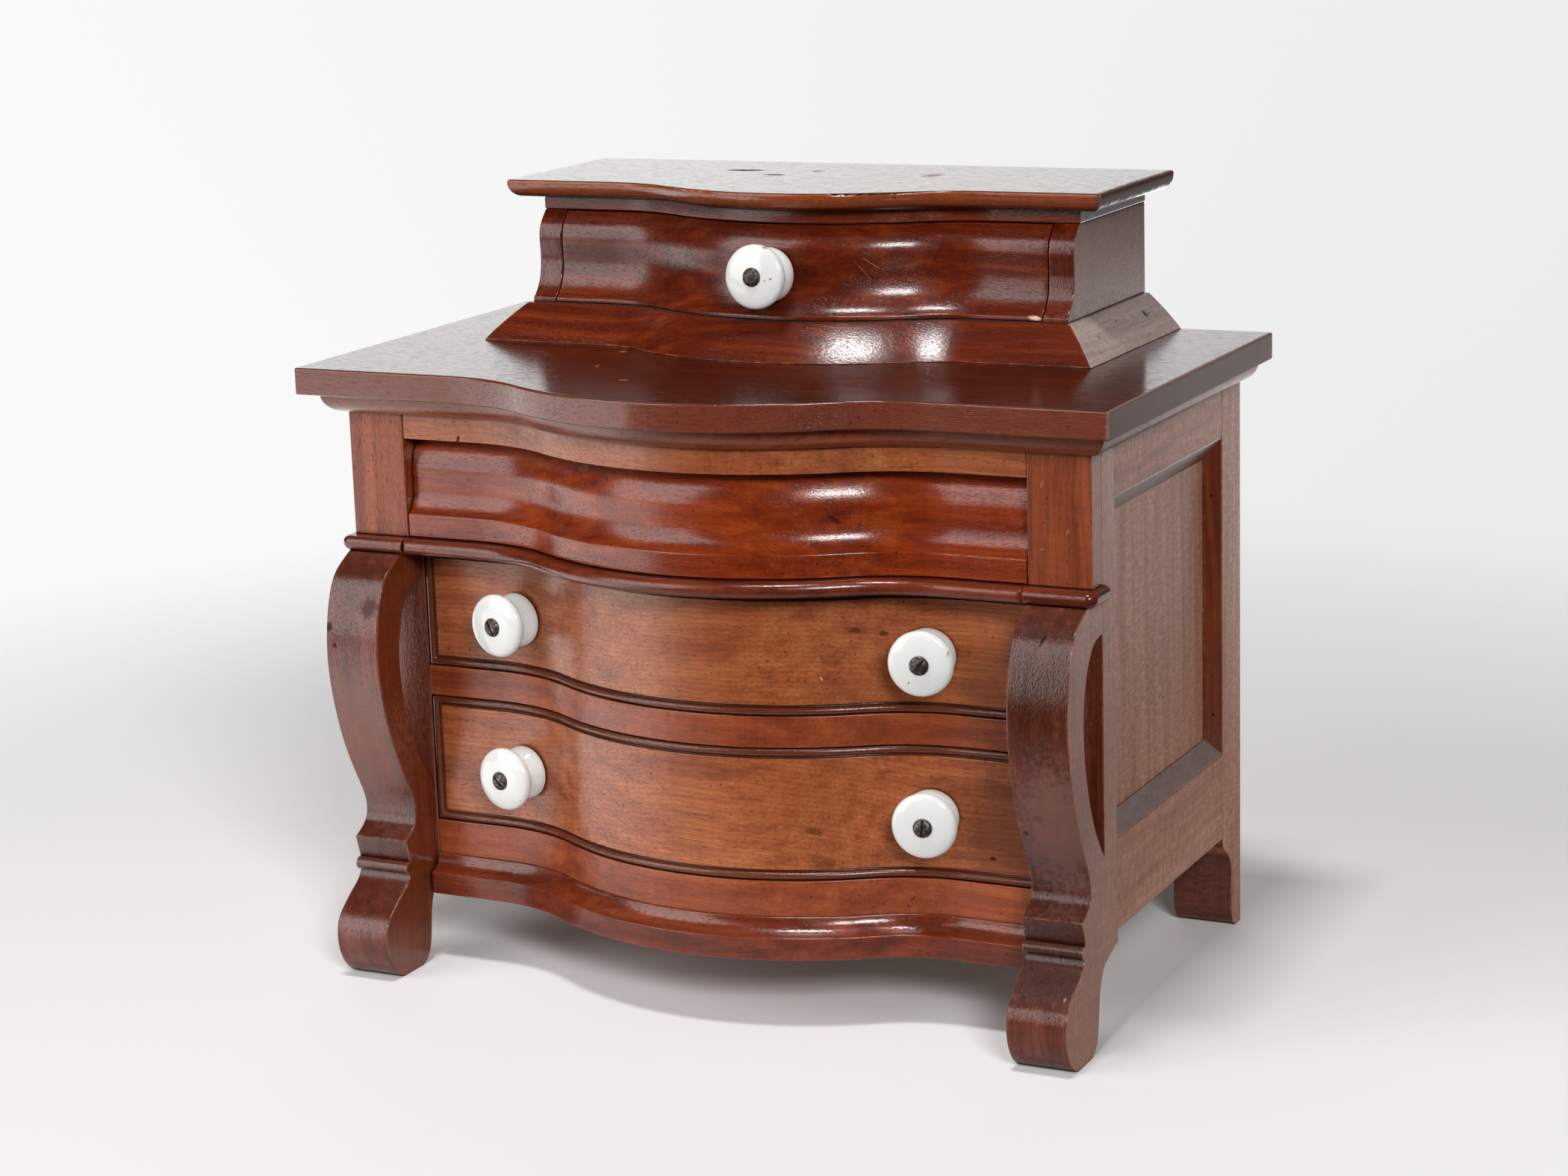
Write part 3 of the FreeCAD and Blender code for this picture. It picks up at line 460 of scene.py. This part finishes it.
def agedIron(name):
    look = ironLook
    material, tree = newMaterial(name)
    place = addNode(tree, "ShaderNodeTexCoord", out="Object")
    inMm = addNode(tree, "ShaderNodeMapping", {"Scale": (1 / mm,) * 3}, {"Vector": place})
    clouds = addNode(tree, "ShaderNodeTexNoise", {"Scale": 1 / look["cloud"], "Detail": 4.0},
                     {"Vector": inMm})
    colour = addNode(tree, "ShaderNodeValToRGB", {"stops": [(0.35, linear(look["rust"])),
                                                            (0.47, linear(look["dark"])),
                                                            (0.68, linear(look["bright"]))]},
                     {"Fac": clouds})
    rough = addNode(tree, "ShaderNodeMapRange", {"To Min": look["dull"], "To Max": look["rubbed"]},
                    {"Value": clouds})
    bump = addNode(tree, "ShaderNodeBump", {"Distance": look["depth"] * mm}, {"Height": clouds}, "Normal")
    surface = addNode(tree, "ShaderNodeBsdfPrincipled", {"Metallic": look["metallic"]},
                      {"Base Color": colour, "Roughness": rough, "Normal": bump}, "BSDF")
    addNode(tree, "ShaderNodeOutputMaterial", links={"Surface": surface})
    return material


# the woods: what each has apart from the usual mahogany. The tops are nearly black, the fronts
# red-brown, the legs worn along the front, and the sides bleached and dull with a painted grey sheen
# the front rims of the tops get a lighter tone: painted light
topWood = {"deep": "280d06", "body": "3c150a", "warm": "552412", "coatRoughness": 0.13, "graininess": 0.035,
           "ripple": 0.015, "poreShade": 0.35, "pore": 0.5, "faceToneAndLight": "703829", "faceAxis": (0, -1, 0),
           "wearAndGlint": 0.9, "wornFrom": 0.3, "wornAndGlint": "87502f"}
frameWood = {"deep": "64280f", "body": "8c3f1f", "warm": "a4562b"}
drawerWood = {"deep": "77391d", "body": "a65a34", "warm": "b97242", "ringShade": 0.42, "ringGap": 2.3,
              "hairShade": 0.34, "poreShade": 0.5, "wearAndGlint": 0.12, "coatRoughness": 0.23}
ogeeWood = {"deep": "3c0f05", "body": "571b08", "warm": "7c3010", "coatRoughness": 0.18, "graininess": 0.055,
            "ripple": 0.02, "coat": 0.95}
friezeWood = {**ogeeWood, "deep": "5a1807", "body": "832f0f", "warm": "a4481b", "coat": 1.0}
# the legs' arrises are paler in patches: worn, and a painted highlight
legWood = {"deep": "3c180e", "body": "612b1c", "warm": "804332", "wornAndGlint": "b07a5a", "wearAndGlint": 0.65,
           "wornFrom": 0.38, "ripple": 0.12, "graininess": 0.12, "coatRoughness": 0.17}
mouldingWood = {"deep": "42150b", "body": "682813", "warm": "823b20", "coatRoughness": 0.16,
                "graininess": 0.05}
# pale grey-pink: bleached and dull, with a painted grey sheen in the colour
sideWood = {"deep": "875845", "body": "a57059", "warm": "bb886f", "coat": 0.5, "coatRoughness": 0.32,
            "roughness": 0.55, "shimmer": 0.3, "barGap": 1.5, "hairShade": 0.12}
rearWood = {**sideWood, "grain": "Z", "faceToneAndLight": "4a2218", "faceAxis": (0, -1, 0)}
# paler and greyer still: a painted grey sheen
greySheenWood = {"deep": "8f7c75", "body": "ac9890", "warm": "bfaba3", "coat": 0.6, "coatRoughness": 0.3,
              "roughness": 0.5}

woodPlan = {
    "main_top": {**topWood, "grain": "X", "offset": (11, 40, 3), "marks": (
        # the right rim, dull and grey
        ((203, 10, 287), (2, 320, 40), (0, 0, 0), "77645f", 0.85),
        # worn spots
        ((-34.8, -77.8, 293.1), (3, 2.4, 2), (0, 0, 0), "a0603a", 0.8),
        ((-73.1, -7.3, 293.1), (2.5, 3, 2), (0, 0, 0), "a0603a", 0.8),
        ((-65.1, -46.6, 293.1), (1.5, 3, 2), (0, 0, 0), "a0603a", 0.7))},
    "upper_top": {**topWood, "grain": "X", "offset": (311, 90, 7), "faceToneAndLight": "8a4426", "marks": (
        # the right rim
        ((155, 73, 363.5), (5, 160, 18), (0, 0, 0), "4e3c38", 0.9),
        # a faded spot and three dark stains
        ((48, 85, 368.4), (6, 9, 3), (0, 0, 0), "6a3a28", 0.5),
        ((-53, 89, 368.4), (12, 4.5, 3), (0, 0, 4), "2a2420", 0.9),
        ((-30, 74, 368.4), (7, 3.5, 3), (0, 0, -3), "2a2420", 0.8),
        ((-16, 92, 368.4), (4, 3, 3), (0, 0, 2), "2a2420", 0.8))},
    "upper_bed_board": {**mouldingWood, "grain": "X", "offset": (41, 12, 31)},
    "bed_moulding_front": {**frameWood, "grain": "X", "offset": (77, 52, 13)},
    "bed_moulding_left": {**sideWood, "grain": "Y", "offset": (7, 152, 13)},
    "bed_moulding_right": {**sideWood, "grain": "Y", "offset": (27, 252, 63)},
    "frieze_rail": {**drawerWood, "grain": "X", "offset": (501, 33, 9), "ringShade": 0.15, "marks": (
        ((-127.2, -71.1, 259.5), (0.9, 2, 3.6), (0, 12, 0), "1d0f0a", 0.9),)},
    "frieze_post_left": {**frameWood, "grain": "Z", "offset": (13, 3, 19)},
    "frieze_post_right": {**frameWood, "grain": "Z", "offset": (63, 43, 69), "faceToneAndLight": "a57361",
                          "faceCoat": 0.4, "marks": (
        ((164.3, -71, 256), (0.7, 2, 2.2), (0, 15, 0), "b98a74", 0.3),
        ((176, -71, 236), (0.6, 2, 1.5), (0, 30, 0), "b98a74", 0.3),
        ((163.9, -71, 227.5), (1.6, 2, 0.5), (0, -8, 0), "b98a74", 0.3))},
    "waist_rail": {**mouldingWood, "grain": "X", "offset": (73, 143, 9)},
    "waist_bead_left": {**mouldingWood, "grain": "X", "offset": (93, 13, 9)},
    "waist_bead_right": {**mouldingWood, "grain": "X", "offset": (193, 113, 29)},
    "mid_rail": {**frameWood, "grain": "X", "offset": (613, 43, 79)},
    "lower_rail": {**frameWood, "grain": "X", "offset": (313, 83, 179)},
    "base_moulding": {**mouldingWood, "grain": "X", "offset": (13, 183, 79)},
    "front_stile_left": {**legWood, "grain": "Z", "offset": (33, 83, 7)},
    "front_stile_right": {**legWood, "grain": "Z", "offset": (133, 183, 17), "faceToneAndLight": "aa7965",
                          "faceCoat": 0.4},
    "scroll_leg_left": {**legWood, "grain": "Z", "offset": (37, 11, 47), "faceToneAndLight": "7a3616",
                        "faceShare": 0.55, "stains": (
        ((-177, -98, 200), (60, 24, 20), (0, 0, 0), "36150c", 0.5),
        ((-177, -92, 47), (60, 60, 22), (0, 0, 0), "3a170d", 0.55),
        ((-177, -88, 80), (60, 60, 24), (0, 0, 0), "3a170d", 0.5)), "marks": (
        # a pale pink-grey patch low on the front: scuffed and dull, with a painted sheen
        ((-177, -88, 112), (22, 30, 46), (0, 0, 0), "8a5f55", 0.5),
        ((-164.2, -98, 182.7), (6, 4, 7), (0, 0, 0), "2c1712", 0.6),
        ((-185.3, -100.5, 172.3), (2.2, 3, 3), (0, 0, 0), "1c100d", 0.8),
        ((-182.4, -101.5, 163.7), (1.6, 2, 1.6), (0, 0, 0), "1c100d", 0.8))},
    "scroll_leg_right": {**legWood, "grain": "Z", "offset": (237, 61, 97), "faceToneAndLight": "a97a68",
                         "faceCoat": 0.4, "stains": (
        ((177, -98, 186), (60, 30, 44), (0, 0, 0), "30140c", 0.6),
        ((177, -92, 47), (60, 60, 24), (0, 0, 0), "2e130b", 0.75),
        ((177, -88, 80), (60, 60, 24), (0, 0, 0), "32150d", 0.65)), "marks": (
        # a pale pink-grey patch low on the front: scuffed and dull, with a painted sheen
        ((177, -88, 108), (22, 30, 46), (0, 0, 0), "805c53", 0.6),
        ((172.7, -93.6, 192.7), (1.2, 3, 4.5), (0, 20, 0), "1a0a06", 0.8),
        ((168.7, -91.8, 112.7), (3, 3, 2), (0, 0, 0), "4a3a35", 0.7),
        ((161.6, -88.2, 104.4), (1.6, 2, 1.6), (0, 0, 0), "241411", 0.7),
        ((183.5, -99, 34), (0.9, 3, 1.6), (0, 15, 0), "c9a58f", 0.7),
        ((166, -93, 27), (5, 6, 1.0), (0, 20, 0), "240f0a", 0.6))},
    "rear_stile_left": {**rearWood, "offset": (137, 61, 9)},
    "rear_stile_right": {**rearWood, "offset": (337, 161, 59)},
    "side_rails_left": {**sideWood, "grain": "Y", "offset": (83, 261, 59)},
    "side_rails_right": {**sideWood, "grain": "Y", "offset": (183, 61, 159)},
    "side_panel_left": {**sideWood, "grain": "Z", "offset": (383, 71, 159)},
    "side_panel_right": {**sideWood, "grain": "Z", "offset": (583, 171, 259)},
    "panel_moulding_left": {**frameWood, "grain": "Z", "offset": (53, 71, 59)},
    "panel_moulding_right": {**frameWood, "deep": "4a1c0c", "body": "6c2f18", "warm": "84421f",
                             "grain": "Z", "offset": (153, 71, 59), "faceToneAndLight": "877570",
                             "faceAxis": (0.5, 0, 0.87), "faceShare": 1.0, "faceCoat": 0.3, "marks": (
        ((183.5, 94, 219.5), (2, 0.8, 0.8), (0, 0, 0), "120a07", 0.95),
        ((184, 94.8, 112.6), (2, 0.8, 0.8), (0, 0, 0), "120a07", 0.95))},
    "splay_front": {**ogeeWood, "grain": "X", "offset": (3, 371, 59), "dustShade": 0.7},
    "splay_left": {**sideWood, "grain": "Y", "offset": (3, 71, 259)},
    "splay_right": {**greySheenWood, "grain": "Y", "offset": (103, 71, 259), "marks": (
        ((150, 37.7, 302.5), (2, 0.9, 1.1), (0, 0, 0), "2e2521", 0.85),
        ((149, 105, 303), (1.5, 6, 0.5), (8, 0, 0), "4a3a34", 0.5),
        ((148.2, 101.4, 303.5), (2.2, 2.2, 2.2), (0, 0, 0), "2e2521", 0.85))},
    "upper_side_left": {**ogeeWood, "grain": "Z", "offset": (203, 91, 259)},
    "upper_side_right": {**ogeeWood, "grain": "Z", "offset": (303, 191, 59), "faceToneAndLight": "87685b",
                         "faceCoat": 0.45},
    "upper_drawer_front": {**ogeeWood, "grain": "X", "offset": (303, 291, 59), "marks": (
        ((123.5, 26, 311.6), (4, 3, 1.3), (0, 10, 0), "d9b49a", 0.9),
        ((47, 17, 335), (9, 4, 0.25), (0, 38, 0), "b07a5c", 0.45),
        ((42, 15, 333), (8, 4, 0.2), (0, 52, 0), "b07a5c", 0.35))},
    "frieze_drawer_front": {**friezeWood, "grain": "X", "offset": (3, 91, 159), "marks": (
        ((70, -81, 236.4), (5, 5, 1.4), (0, 35, 0), "2a0f08", 0.7),
        ((-52, -86, 253.7), (4, 4, 2.2), (0, 0, 0), "6e5f58", 0.6))},
    "middle_drawer_front": {**drawerWood, "grain": "X", "offset": (63, 91, 159),
                            "beadBox": (175.0, 152.2, 24.0), "marks": (
        ((61.2, -80.2, 163.2), (0.5, 2, 1.2), (0, -20, 0), "d8b8a0", 0.8),
        ((74.2, -72.9, 184.8), (5, 4, 1.6), (0, 8, 0), "33150c", 0.7),
        ((86.1, -66.3, 182.8), (2.6, 3, 1.3), (0, 8, 0), "33150c", 0.7))},
    "bottom_drawer_front": {**drawerWood, "grain": "X", "offset": (463, 191, 159),
                            "beadBox": (100.1, 152.2, 26.2), "marks": (
        ((140, -60, 90), (24, 14, 40), (0, 0, 0), "54301f", 0.5),
        ((133.5, -58.8, 81), (2.2, 3, 1.0), (0, 0, 0), "1d0c06", 0.85),
        ((56.6, -82.3, 92.1), (7, 5, 2), (0, 10, 0), "3a1a10", 0.55),
        ((60.5, -80.5, 76.9), (8, 5, 3), (0, 0, 0), "3a1a10", 0.5))},
}
poplarPlan = {
    "upper_drawer_sides": "Y", "upper_drawer_back": "X", "upper_drawer_bottom": "X",
    "frieze_drawer_sides": "Y", "frieze_drawer_back": "X", "frieze_drawer_bottom": "X",
    "middle_drawer_sides": "Y", "middle_drawer_back": "X", "middle_drawer_bottom": "X",
    "bottom_drawer_sides": "Y", "bottom_drawer_back": "X", "bottom_drawer_bottom": "X",
    "back_boards": "X", "case_bottom": "X", "drawer_runners": "Y", "drawer_stops": "X",
    "upper_back": "X", "upper_bottom": "X",
}


def dress(name, material):
    slots = cadNodes[name].data.materials
    slots.clear()
    slots.append(material)


for name, look in woodPlan.items():
    dress(name, mahogany("varnishedMahogany_" + name, **look))
nextBoard = (37, 53, 17)     # each poplar board comes from this much further into the tree
for i, (name, grain) in enumerate(poplarPlan.items()):
    dress(name, poplar("barePoplar_" + name, grain, [i * step for step in nextBoard]))
# rust, chips and specks on the knobs, given as the marks of the woods are
knobMarks = {
    "upper_drawer_knob": (((5.6, -11.6, 345.3), (1.6, 1.6, 0.9), (0, 0, 0), "9a5a2c", 0.85),
                          ((9.4, -14.8, 331.4), (0.8, 1, 0.8), (0, 0, 0), "3b2a20", 0.85),
                          ((6.5, -14.8, 330.6), (0.5, 1, 0.5), (0, 0, 0), "3b2a20", 0.8)),
    "middle_drawer_knobs": (((121, -75.5, 178.7), (1, 1, 2.4), (0, 20, 0), "8b6a4e", 0.6),
                            ((103.8, -80.2, 164.9), (0.6, 1, 0.6), (0, 0, 0), "4a3326", 0.85)),
    "bottom_drawer_knobs": (((-98, -80, 90), (0.5, 1, 0.5), (0, 0, 0), "5a4030", 0.7),),
}
for name, marks in knobMarks.items():
    dress(name, porcelain("glazedPorcelain_" + name, marks))
boltIron = agedIron("agedIron")
for name in cadNodes:
    if slotOf[name] == "aged_iron":
        dress(name, boltIron)
print("finishes done:", len(woodPlan) + len(poplarPlan) + len(knobMarks) + 1)

# arrises rubbed round by handling; pieces whose arrises are already round are left as cut
arrisLook = {
    "width": 0.5,
    "segments": 2,
    "sharperThan": 32,       # degrees between the faces at an arris that is rounded
    "joinWithin": 0.002,     # the two sides of an arris meet within this
    "flatWithin": 0.3,       # degrees between faces that are one flat
}
arrisWidths = {"main_top": 0.7, "frieze_rail": 0.6, "upper_bed_board": 0.4, "bed_moulding_right": 0.3,
               "bed_moulding_left": 0.3, "frieze_post_left": 0.3, "frieze_post_right": 0.3,
               "waist_bead_left": 0.3, "waist_bead_right": 0.3, "drawer_stops": 0.2}
keptArrises = ("scroll_leg_left", "scroll_leg_right", "upper_top", "panel_moulding_left",
               "panel_moulding_right")


def roundArrises(name):
    piece = cadNodes[name]
    weld = piece.modifiers.new("joinedFaces", "WELD")
    weld.merge_threshold = arrisLook["joinWithin"] * mm
    if name != "base_moulding":
        # the long thin faces of the base moulding don't stand being joined
        flats = piece.modifiers.new("wholeFlats", "DECIMATE")
        flats.decimate_type = "DISSOLVE"
        flats.angle_limit = math.radians(arrisLook["flatWithin"])
    rub = piece.modifiers.new("rubbedArris", "BEVEL")
    rub.limit_method = "ANGLE"
    rub.angle_limit = math.radians(arrisLook["sharperThan"])
    rub.width = arrisWidths.get(name, arrisLook["width"]) * mm
    rub.segments = arrisLook["segments"]
    rub.use_clamp_overlap = False
    rub.miter_outer = "MITER_ARC"
    piece.modifiers.new("evenShading", "WEIGHTED_NORMAL")


rubbedPieces = [name for name in [*woodPlan, *poplarPlan] if name not in keptArrises]
for name in rubbedPieces:
    roundArrises(name)
print("arrises rounded:", len(rubbedPieces))

# floor and room: a white paper sweep behind the chest, a dark studio round it, and painted
# reflections in the floor: dark in front for bounced rays, glowing at the left for glossy rays
roomLook = {
    "floorSize": 40.0,
    "floor": "e1e0e0",
    "nearRadius": 0.45,                    # where the paper turns into the lit backdrop
    "farRadius": 1.1,
    "backdropAxis": (0.9, 0.44, 0),        # the lit backdrop is brighter at its left end
    "backdropReach": 0.45,
    "backdropLeft": 0.96,
    "backdropRight": 0.835,
    "towardStudio": (0.72, -0.69, 0.0),    # the floor in front is painted dark for bounced rays
    "paintedDarkFloor": (0.12, 0.34),
    "studioDark": 0.015,
    "towardGlow": (-0.866, 0.5, 0.0),
    "glowSideways": (0.0, 0.12),              # the painted glow fades in sideways, and then outward
    "glowStart": (0.22, 0.36),
    "glowStop": (2.8, 2.0),
    "paintedGlowLevel": 2.8,
    "sweepAxis": (-0.4, 0.917, 0.0),       # the sweep behind, as the gloss sees it
    "sweepEdge": (0.7, 0.88),
    "sweepTop": (0.85, 0.6),
    "sweepAcross": (-0.6, 0.1),
    "sweepLeft": 1.6,
    "sweepRight": 0.7,
}


def backdropLevel(tree, place):
    across = addNode(tree, "ShaderNodeVectorMath", {"operation": "DOT_PRODUCT",
                                                    1: roomLook["backdropAxis"]}, {0: place}, "Value")
    return addNode(tree, "ShaderNodeMapRange", {"From Min": -roomLook["backdropReach"],
                                                "From Max": roomLook["backdropReach"],
                                                "To Min": roomLook["backdropLeft"],
                                                "To Max": roomLook["backdropRight"],
                                                "interpolation_type": "SMOOTHSTEP"}, {"Value": across})


def makeFloor():
    bpy.ops.mesh.primitive_plane_add(size=roomLook["floorSize"], location=(0, 0, 0))
    floor = bpy.context.object
    floor.name = "studio_floor"
    material, tree = newMaterial("matteWhitePaper")
    place = addNode(tree, "ShaderNodeTexCoord", out="Object")
    reach = addNode(tree, "ShaderNodeVectorMath", {"operation": "LENGTH"}, {0: place}, "Value")
    camera = addNode(tree, "ShaderNodeLightPath", out="Is Camera Ray")
    # near the chest the camera sees paper with its shadow, and far off the lit backdrop
    far = addNode(tree, "ShaderNodeMapRange", {"From Min": roomLook["nearRadius"],
                                               "From Max": roomLook["farRadius"],
                                               "interpolation_type": "SMOOTHSTEP"}, {"Value": reach})
    farShare = addNode(tree, "ShaderNodeMath", {"operation": "MULTIPLY"}, {0: camera, 1: far})
    paper = addNode(tree, "ShaderNodeBsdfDiffuse", {"Color": linear(roomLook["floor"])})
    along = addNode(tree, "ShaderNodeVectorMath", {"operation": "NORMALIZE"}, {0: place})
    glow = addNode(tree, "ShaderNodeEmission", {"Color": white}, {"Strength": backdropLevel(tree, along)})
    seen = addNode(tree, "ShaderNodeMixShader", links={0: farShare, 1: paper, 2: glow})
    # for bounced rays the floor in front is painted dark, a painted dark reflection in the fronts
    ahead = addNode(tree, "ShaderNodeVectorMath", {"operation": "DOT_PRODUCT", 1: roomLook["towardStudio"]},
                    {0: place}, "Value")
    darkFloorStart, darkFloorStop = roomLook["paintedDarkFloor"]
    past = addNode(tree, "ShaderNodeMapRange", {"From Min": darkFloorStart, "From Max": darkFloorStop},
                   {"Value": ahead})
    bounced = addNode(tree, "ShaderNodeMath", {"operation": "SUBTRACT", 0: 1.0}, {1: camera})
    pastShare = addNode(tree, "ShaderNodeMath", {"operation": "MULTIPLY"}, {0: bounced, 1: past})
    dark = addNode(tree, "ShaderNodeEmission", {"Color": white, "Strength": roomLook["studioDark"]})
    seen = addNode(tree, "ShaderNodeMixShader", links={0: pastShare, 1: seen, 2: dark})
    # a patch of floor at the left glows in the gloss only: a painted reflection
    gloss = addNode(tree, "ShaderNodeLightPath", out="Is Glossy Ray")
    aside = addNode(tree, "ShaderNodeVectorMath", {"operation": "DOT_PRODUCT", 1: roomLook["towardGlow"]},
                    {0: place}, "Value")
    glowShare = gloss
    for key, value in (("glowSideways", aside), ("glowStart", reach), ("glowStop", reach)):
        start, stop = roomLook[key]
        within = addNode(tree, "ShaderNodeMapRange", {"From Min": start, "From Max": stop}, {"Value": value})
        glowShare = addNode(tree, "ShaderNodeMath", {"operation": "MULTIPLY"}, {0: glowShare, 1: within})
    paintedGlow = addNode(tree, "ShaderNodeEmission", {"Color": white, "Strength": roomLook["paintedGlowLevel"]})
    both = addNode(tree, "ShaderNodeMixShader", links={0: glowShare, 1: seen, 2: paintedGlow})
    addNode(tree, "ShaderNodeOutputMaterial", links={"Surface": both})
    floor.data.materials.append(material)


def makeWorld():
    world = bpy.data.worlds.new("whiteStudio")
    scene.world = world
    world.use_nodes = True
    tree = world.node_tree
    tree.nodes.clear()
    way = addNode(tree, "ShaderNodeTexCoord", out="Generated")
    # bounced rays see the sweep as a soft bright field behind the chest, and a dark studio elsewhere
    across = addNode(tree, "ShaderNodeVectorMath", {"operation": "DOT_PRODUCT", 1: (1, 0, 0)},
                     {0: way}, "Value")
    acrossStart, acrossStop = roomLook["sweepAcross"]
    level = addNode(tree, "ShaderNodeMapRange", {"From Min": acrossStart, "From Max": acrossStop,
                                                 "To Min": roomLook["sweepLeft"],
                                                 "To Max": roomLook["sweepRight"]}, {"Value": across})
    back = addNode(tree, "ShaderNodeVectorMath", {"operation": "DOT_PRODUCT", 1: roomLook["sweepAxis"]},
                   {0: way}, "Value")
    high = addNode(tree, "ShaderNodeVectorMath", {"operation": "DOT_PRODUCT", 1: (0, 0, 1)},
                   {0: way}, "Value")
    for key, value in (("sweepEdge", back), ("sweepTop", high)):
        start, stop = roomLook[key]
        within = addNode(tree, "ShaderNodeMapRange", {"From Min": start, "From Max": stop,
                                                      "interpolation_type": "SMOOTHSTEP"}, {"Value": value})
        level = addNode(tree, "ShaderNodeMath", {"operation": "MULTIPLY"}, {0: level, 1: within})
    level = addNode(tree, "ShaderNodeMath", {"operation": "ADD", 1: roomLook["studioDark"]}, {0: level})
    room = addNode(tree, "ShaderNodeBackground", {"Color": white}, {"Strength": level})
    backdrop = addNode(tree, "ShaderNodeBackground", {"Color": white}, {"Strength": backdropLevel(tree, way)})
    camera = addNode(tree, "ShaderNodeLightPath", out="Is Camera Ray")
    both = addNode(tree, "ShaderNodeMixShader", links={0: camera, 1: room, 2: backdrop})
    addNode(tree, "ShaderNodeOutputWorld", links={"Surface": both})


makeFloor()
makeWorld()
print("floor and room done")

# soft studio lamps: bearing and height in degrees seen from the chest, power in watts
lamps = {
    "keyBox": {"bearing": 39, "height": 27, "away": 4.0, "size": (1.1, 0.9), "power": 116},
    "highBox": {"bearing": 6, "height": 76, "away": 4.0, "size": (0.8, 0.5), "power": 84},
    "leftPanel": {"bearing": -38, "height": 22, "away": 4.0, "size": (2.7, 3.5), "power": 108},
}
lampAim = Vector((0.0, -0.05, 0.18))


def makeLamp(lampName, lamp):
    bearing, height = math.radians(lamp["bearing"]), math.radians(lamp["height"])
    ray = Vector((math.sin(bearing) * math.cos(height), -math.cos(bearing) * math.cos(height),
                  math.sin(height)))
    data = bpy.data.lights.new(lampName, "AREA")
    data.shape = "RECTANGLE"
    data.size, data.size_y = lamp["size"]
    data.energy = lamp["power"]
    softbox = bpy.data.objects.new(lampName, data)
    scene.collection.objects.link(softbox)
    softbox.location = lampAim + ray * lamp["away"]
    softbox.rotation_euler = ray.to_track_quat("Z", "Y").to_euler()
    softbox.visible_camera = False


for lampName, lamp in lamps.items():
    makeLamp(lampName, lamp)
print("lamps done:", len(lamps))

# camera: place in metres, turns in degrees, lens and sensor in millimetres
cameraView = {"place": (0.70548, -1.415, 0.55122), "yaw": 26.36, "pitch": 13.14, "roll": -1.81,
              "lens": 78.92, "sensor": 36}


def makeCamera():
    yaw, pitch, roll = (math.radians(cameraView[k]) for k in ("yaw", "pitch", "roll"))
    forward = Vector((-math.sin(yaw) * math.cos(pitch), math.cos(yaw) * math.cos(pitch), -math.sin(pitch)))
    right = Vector((math.cos(yaw), math.sin(yaw), 0))
    up = right.cross(forward)
    tiltedRight = math.cos(roll) * right + math.sin(roll) * up
    tiltedUp = -math.sin(roll) * right + math.cos(roll) * up
    turn = Matrix((tiltedRight, tiltedUp, -forward)).transposed().to_4x4()
    data = bpy.data.cameras.new("studioCamera")
    data.sensor_width = cameraView["sensor"]
    data.lens = cameraView["lens"]
    camera = bpy.data.objects.new("studioCamera", data)
    scene.collection.objects.link(camera)
    camera.matrix_world = Matrix.Translation(cameraView["place"]) @ turn
    scene.camera = camera


makeCamera()
scene.view_settings.view_transform = "Standard"
print("camera done")
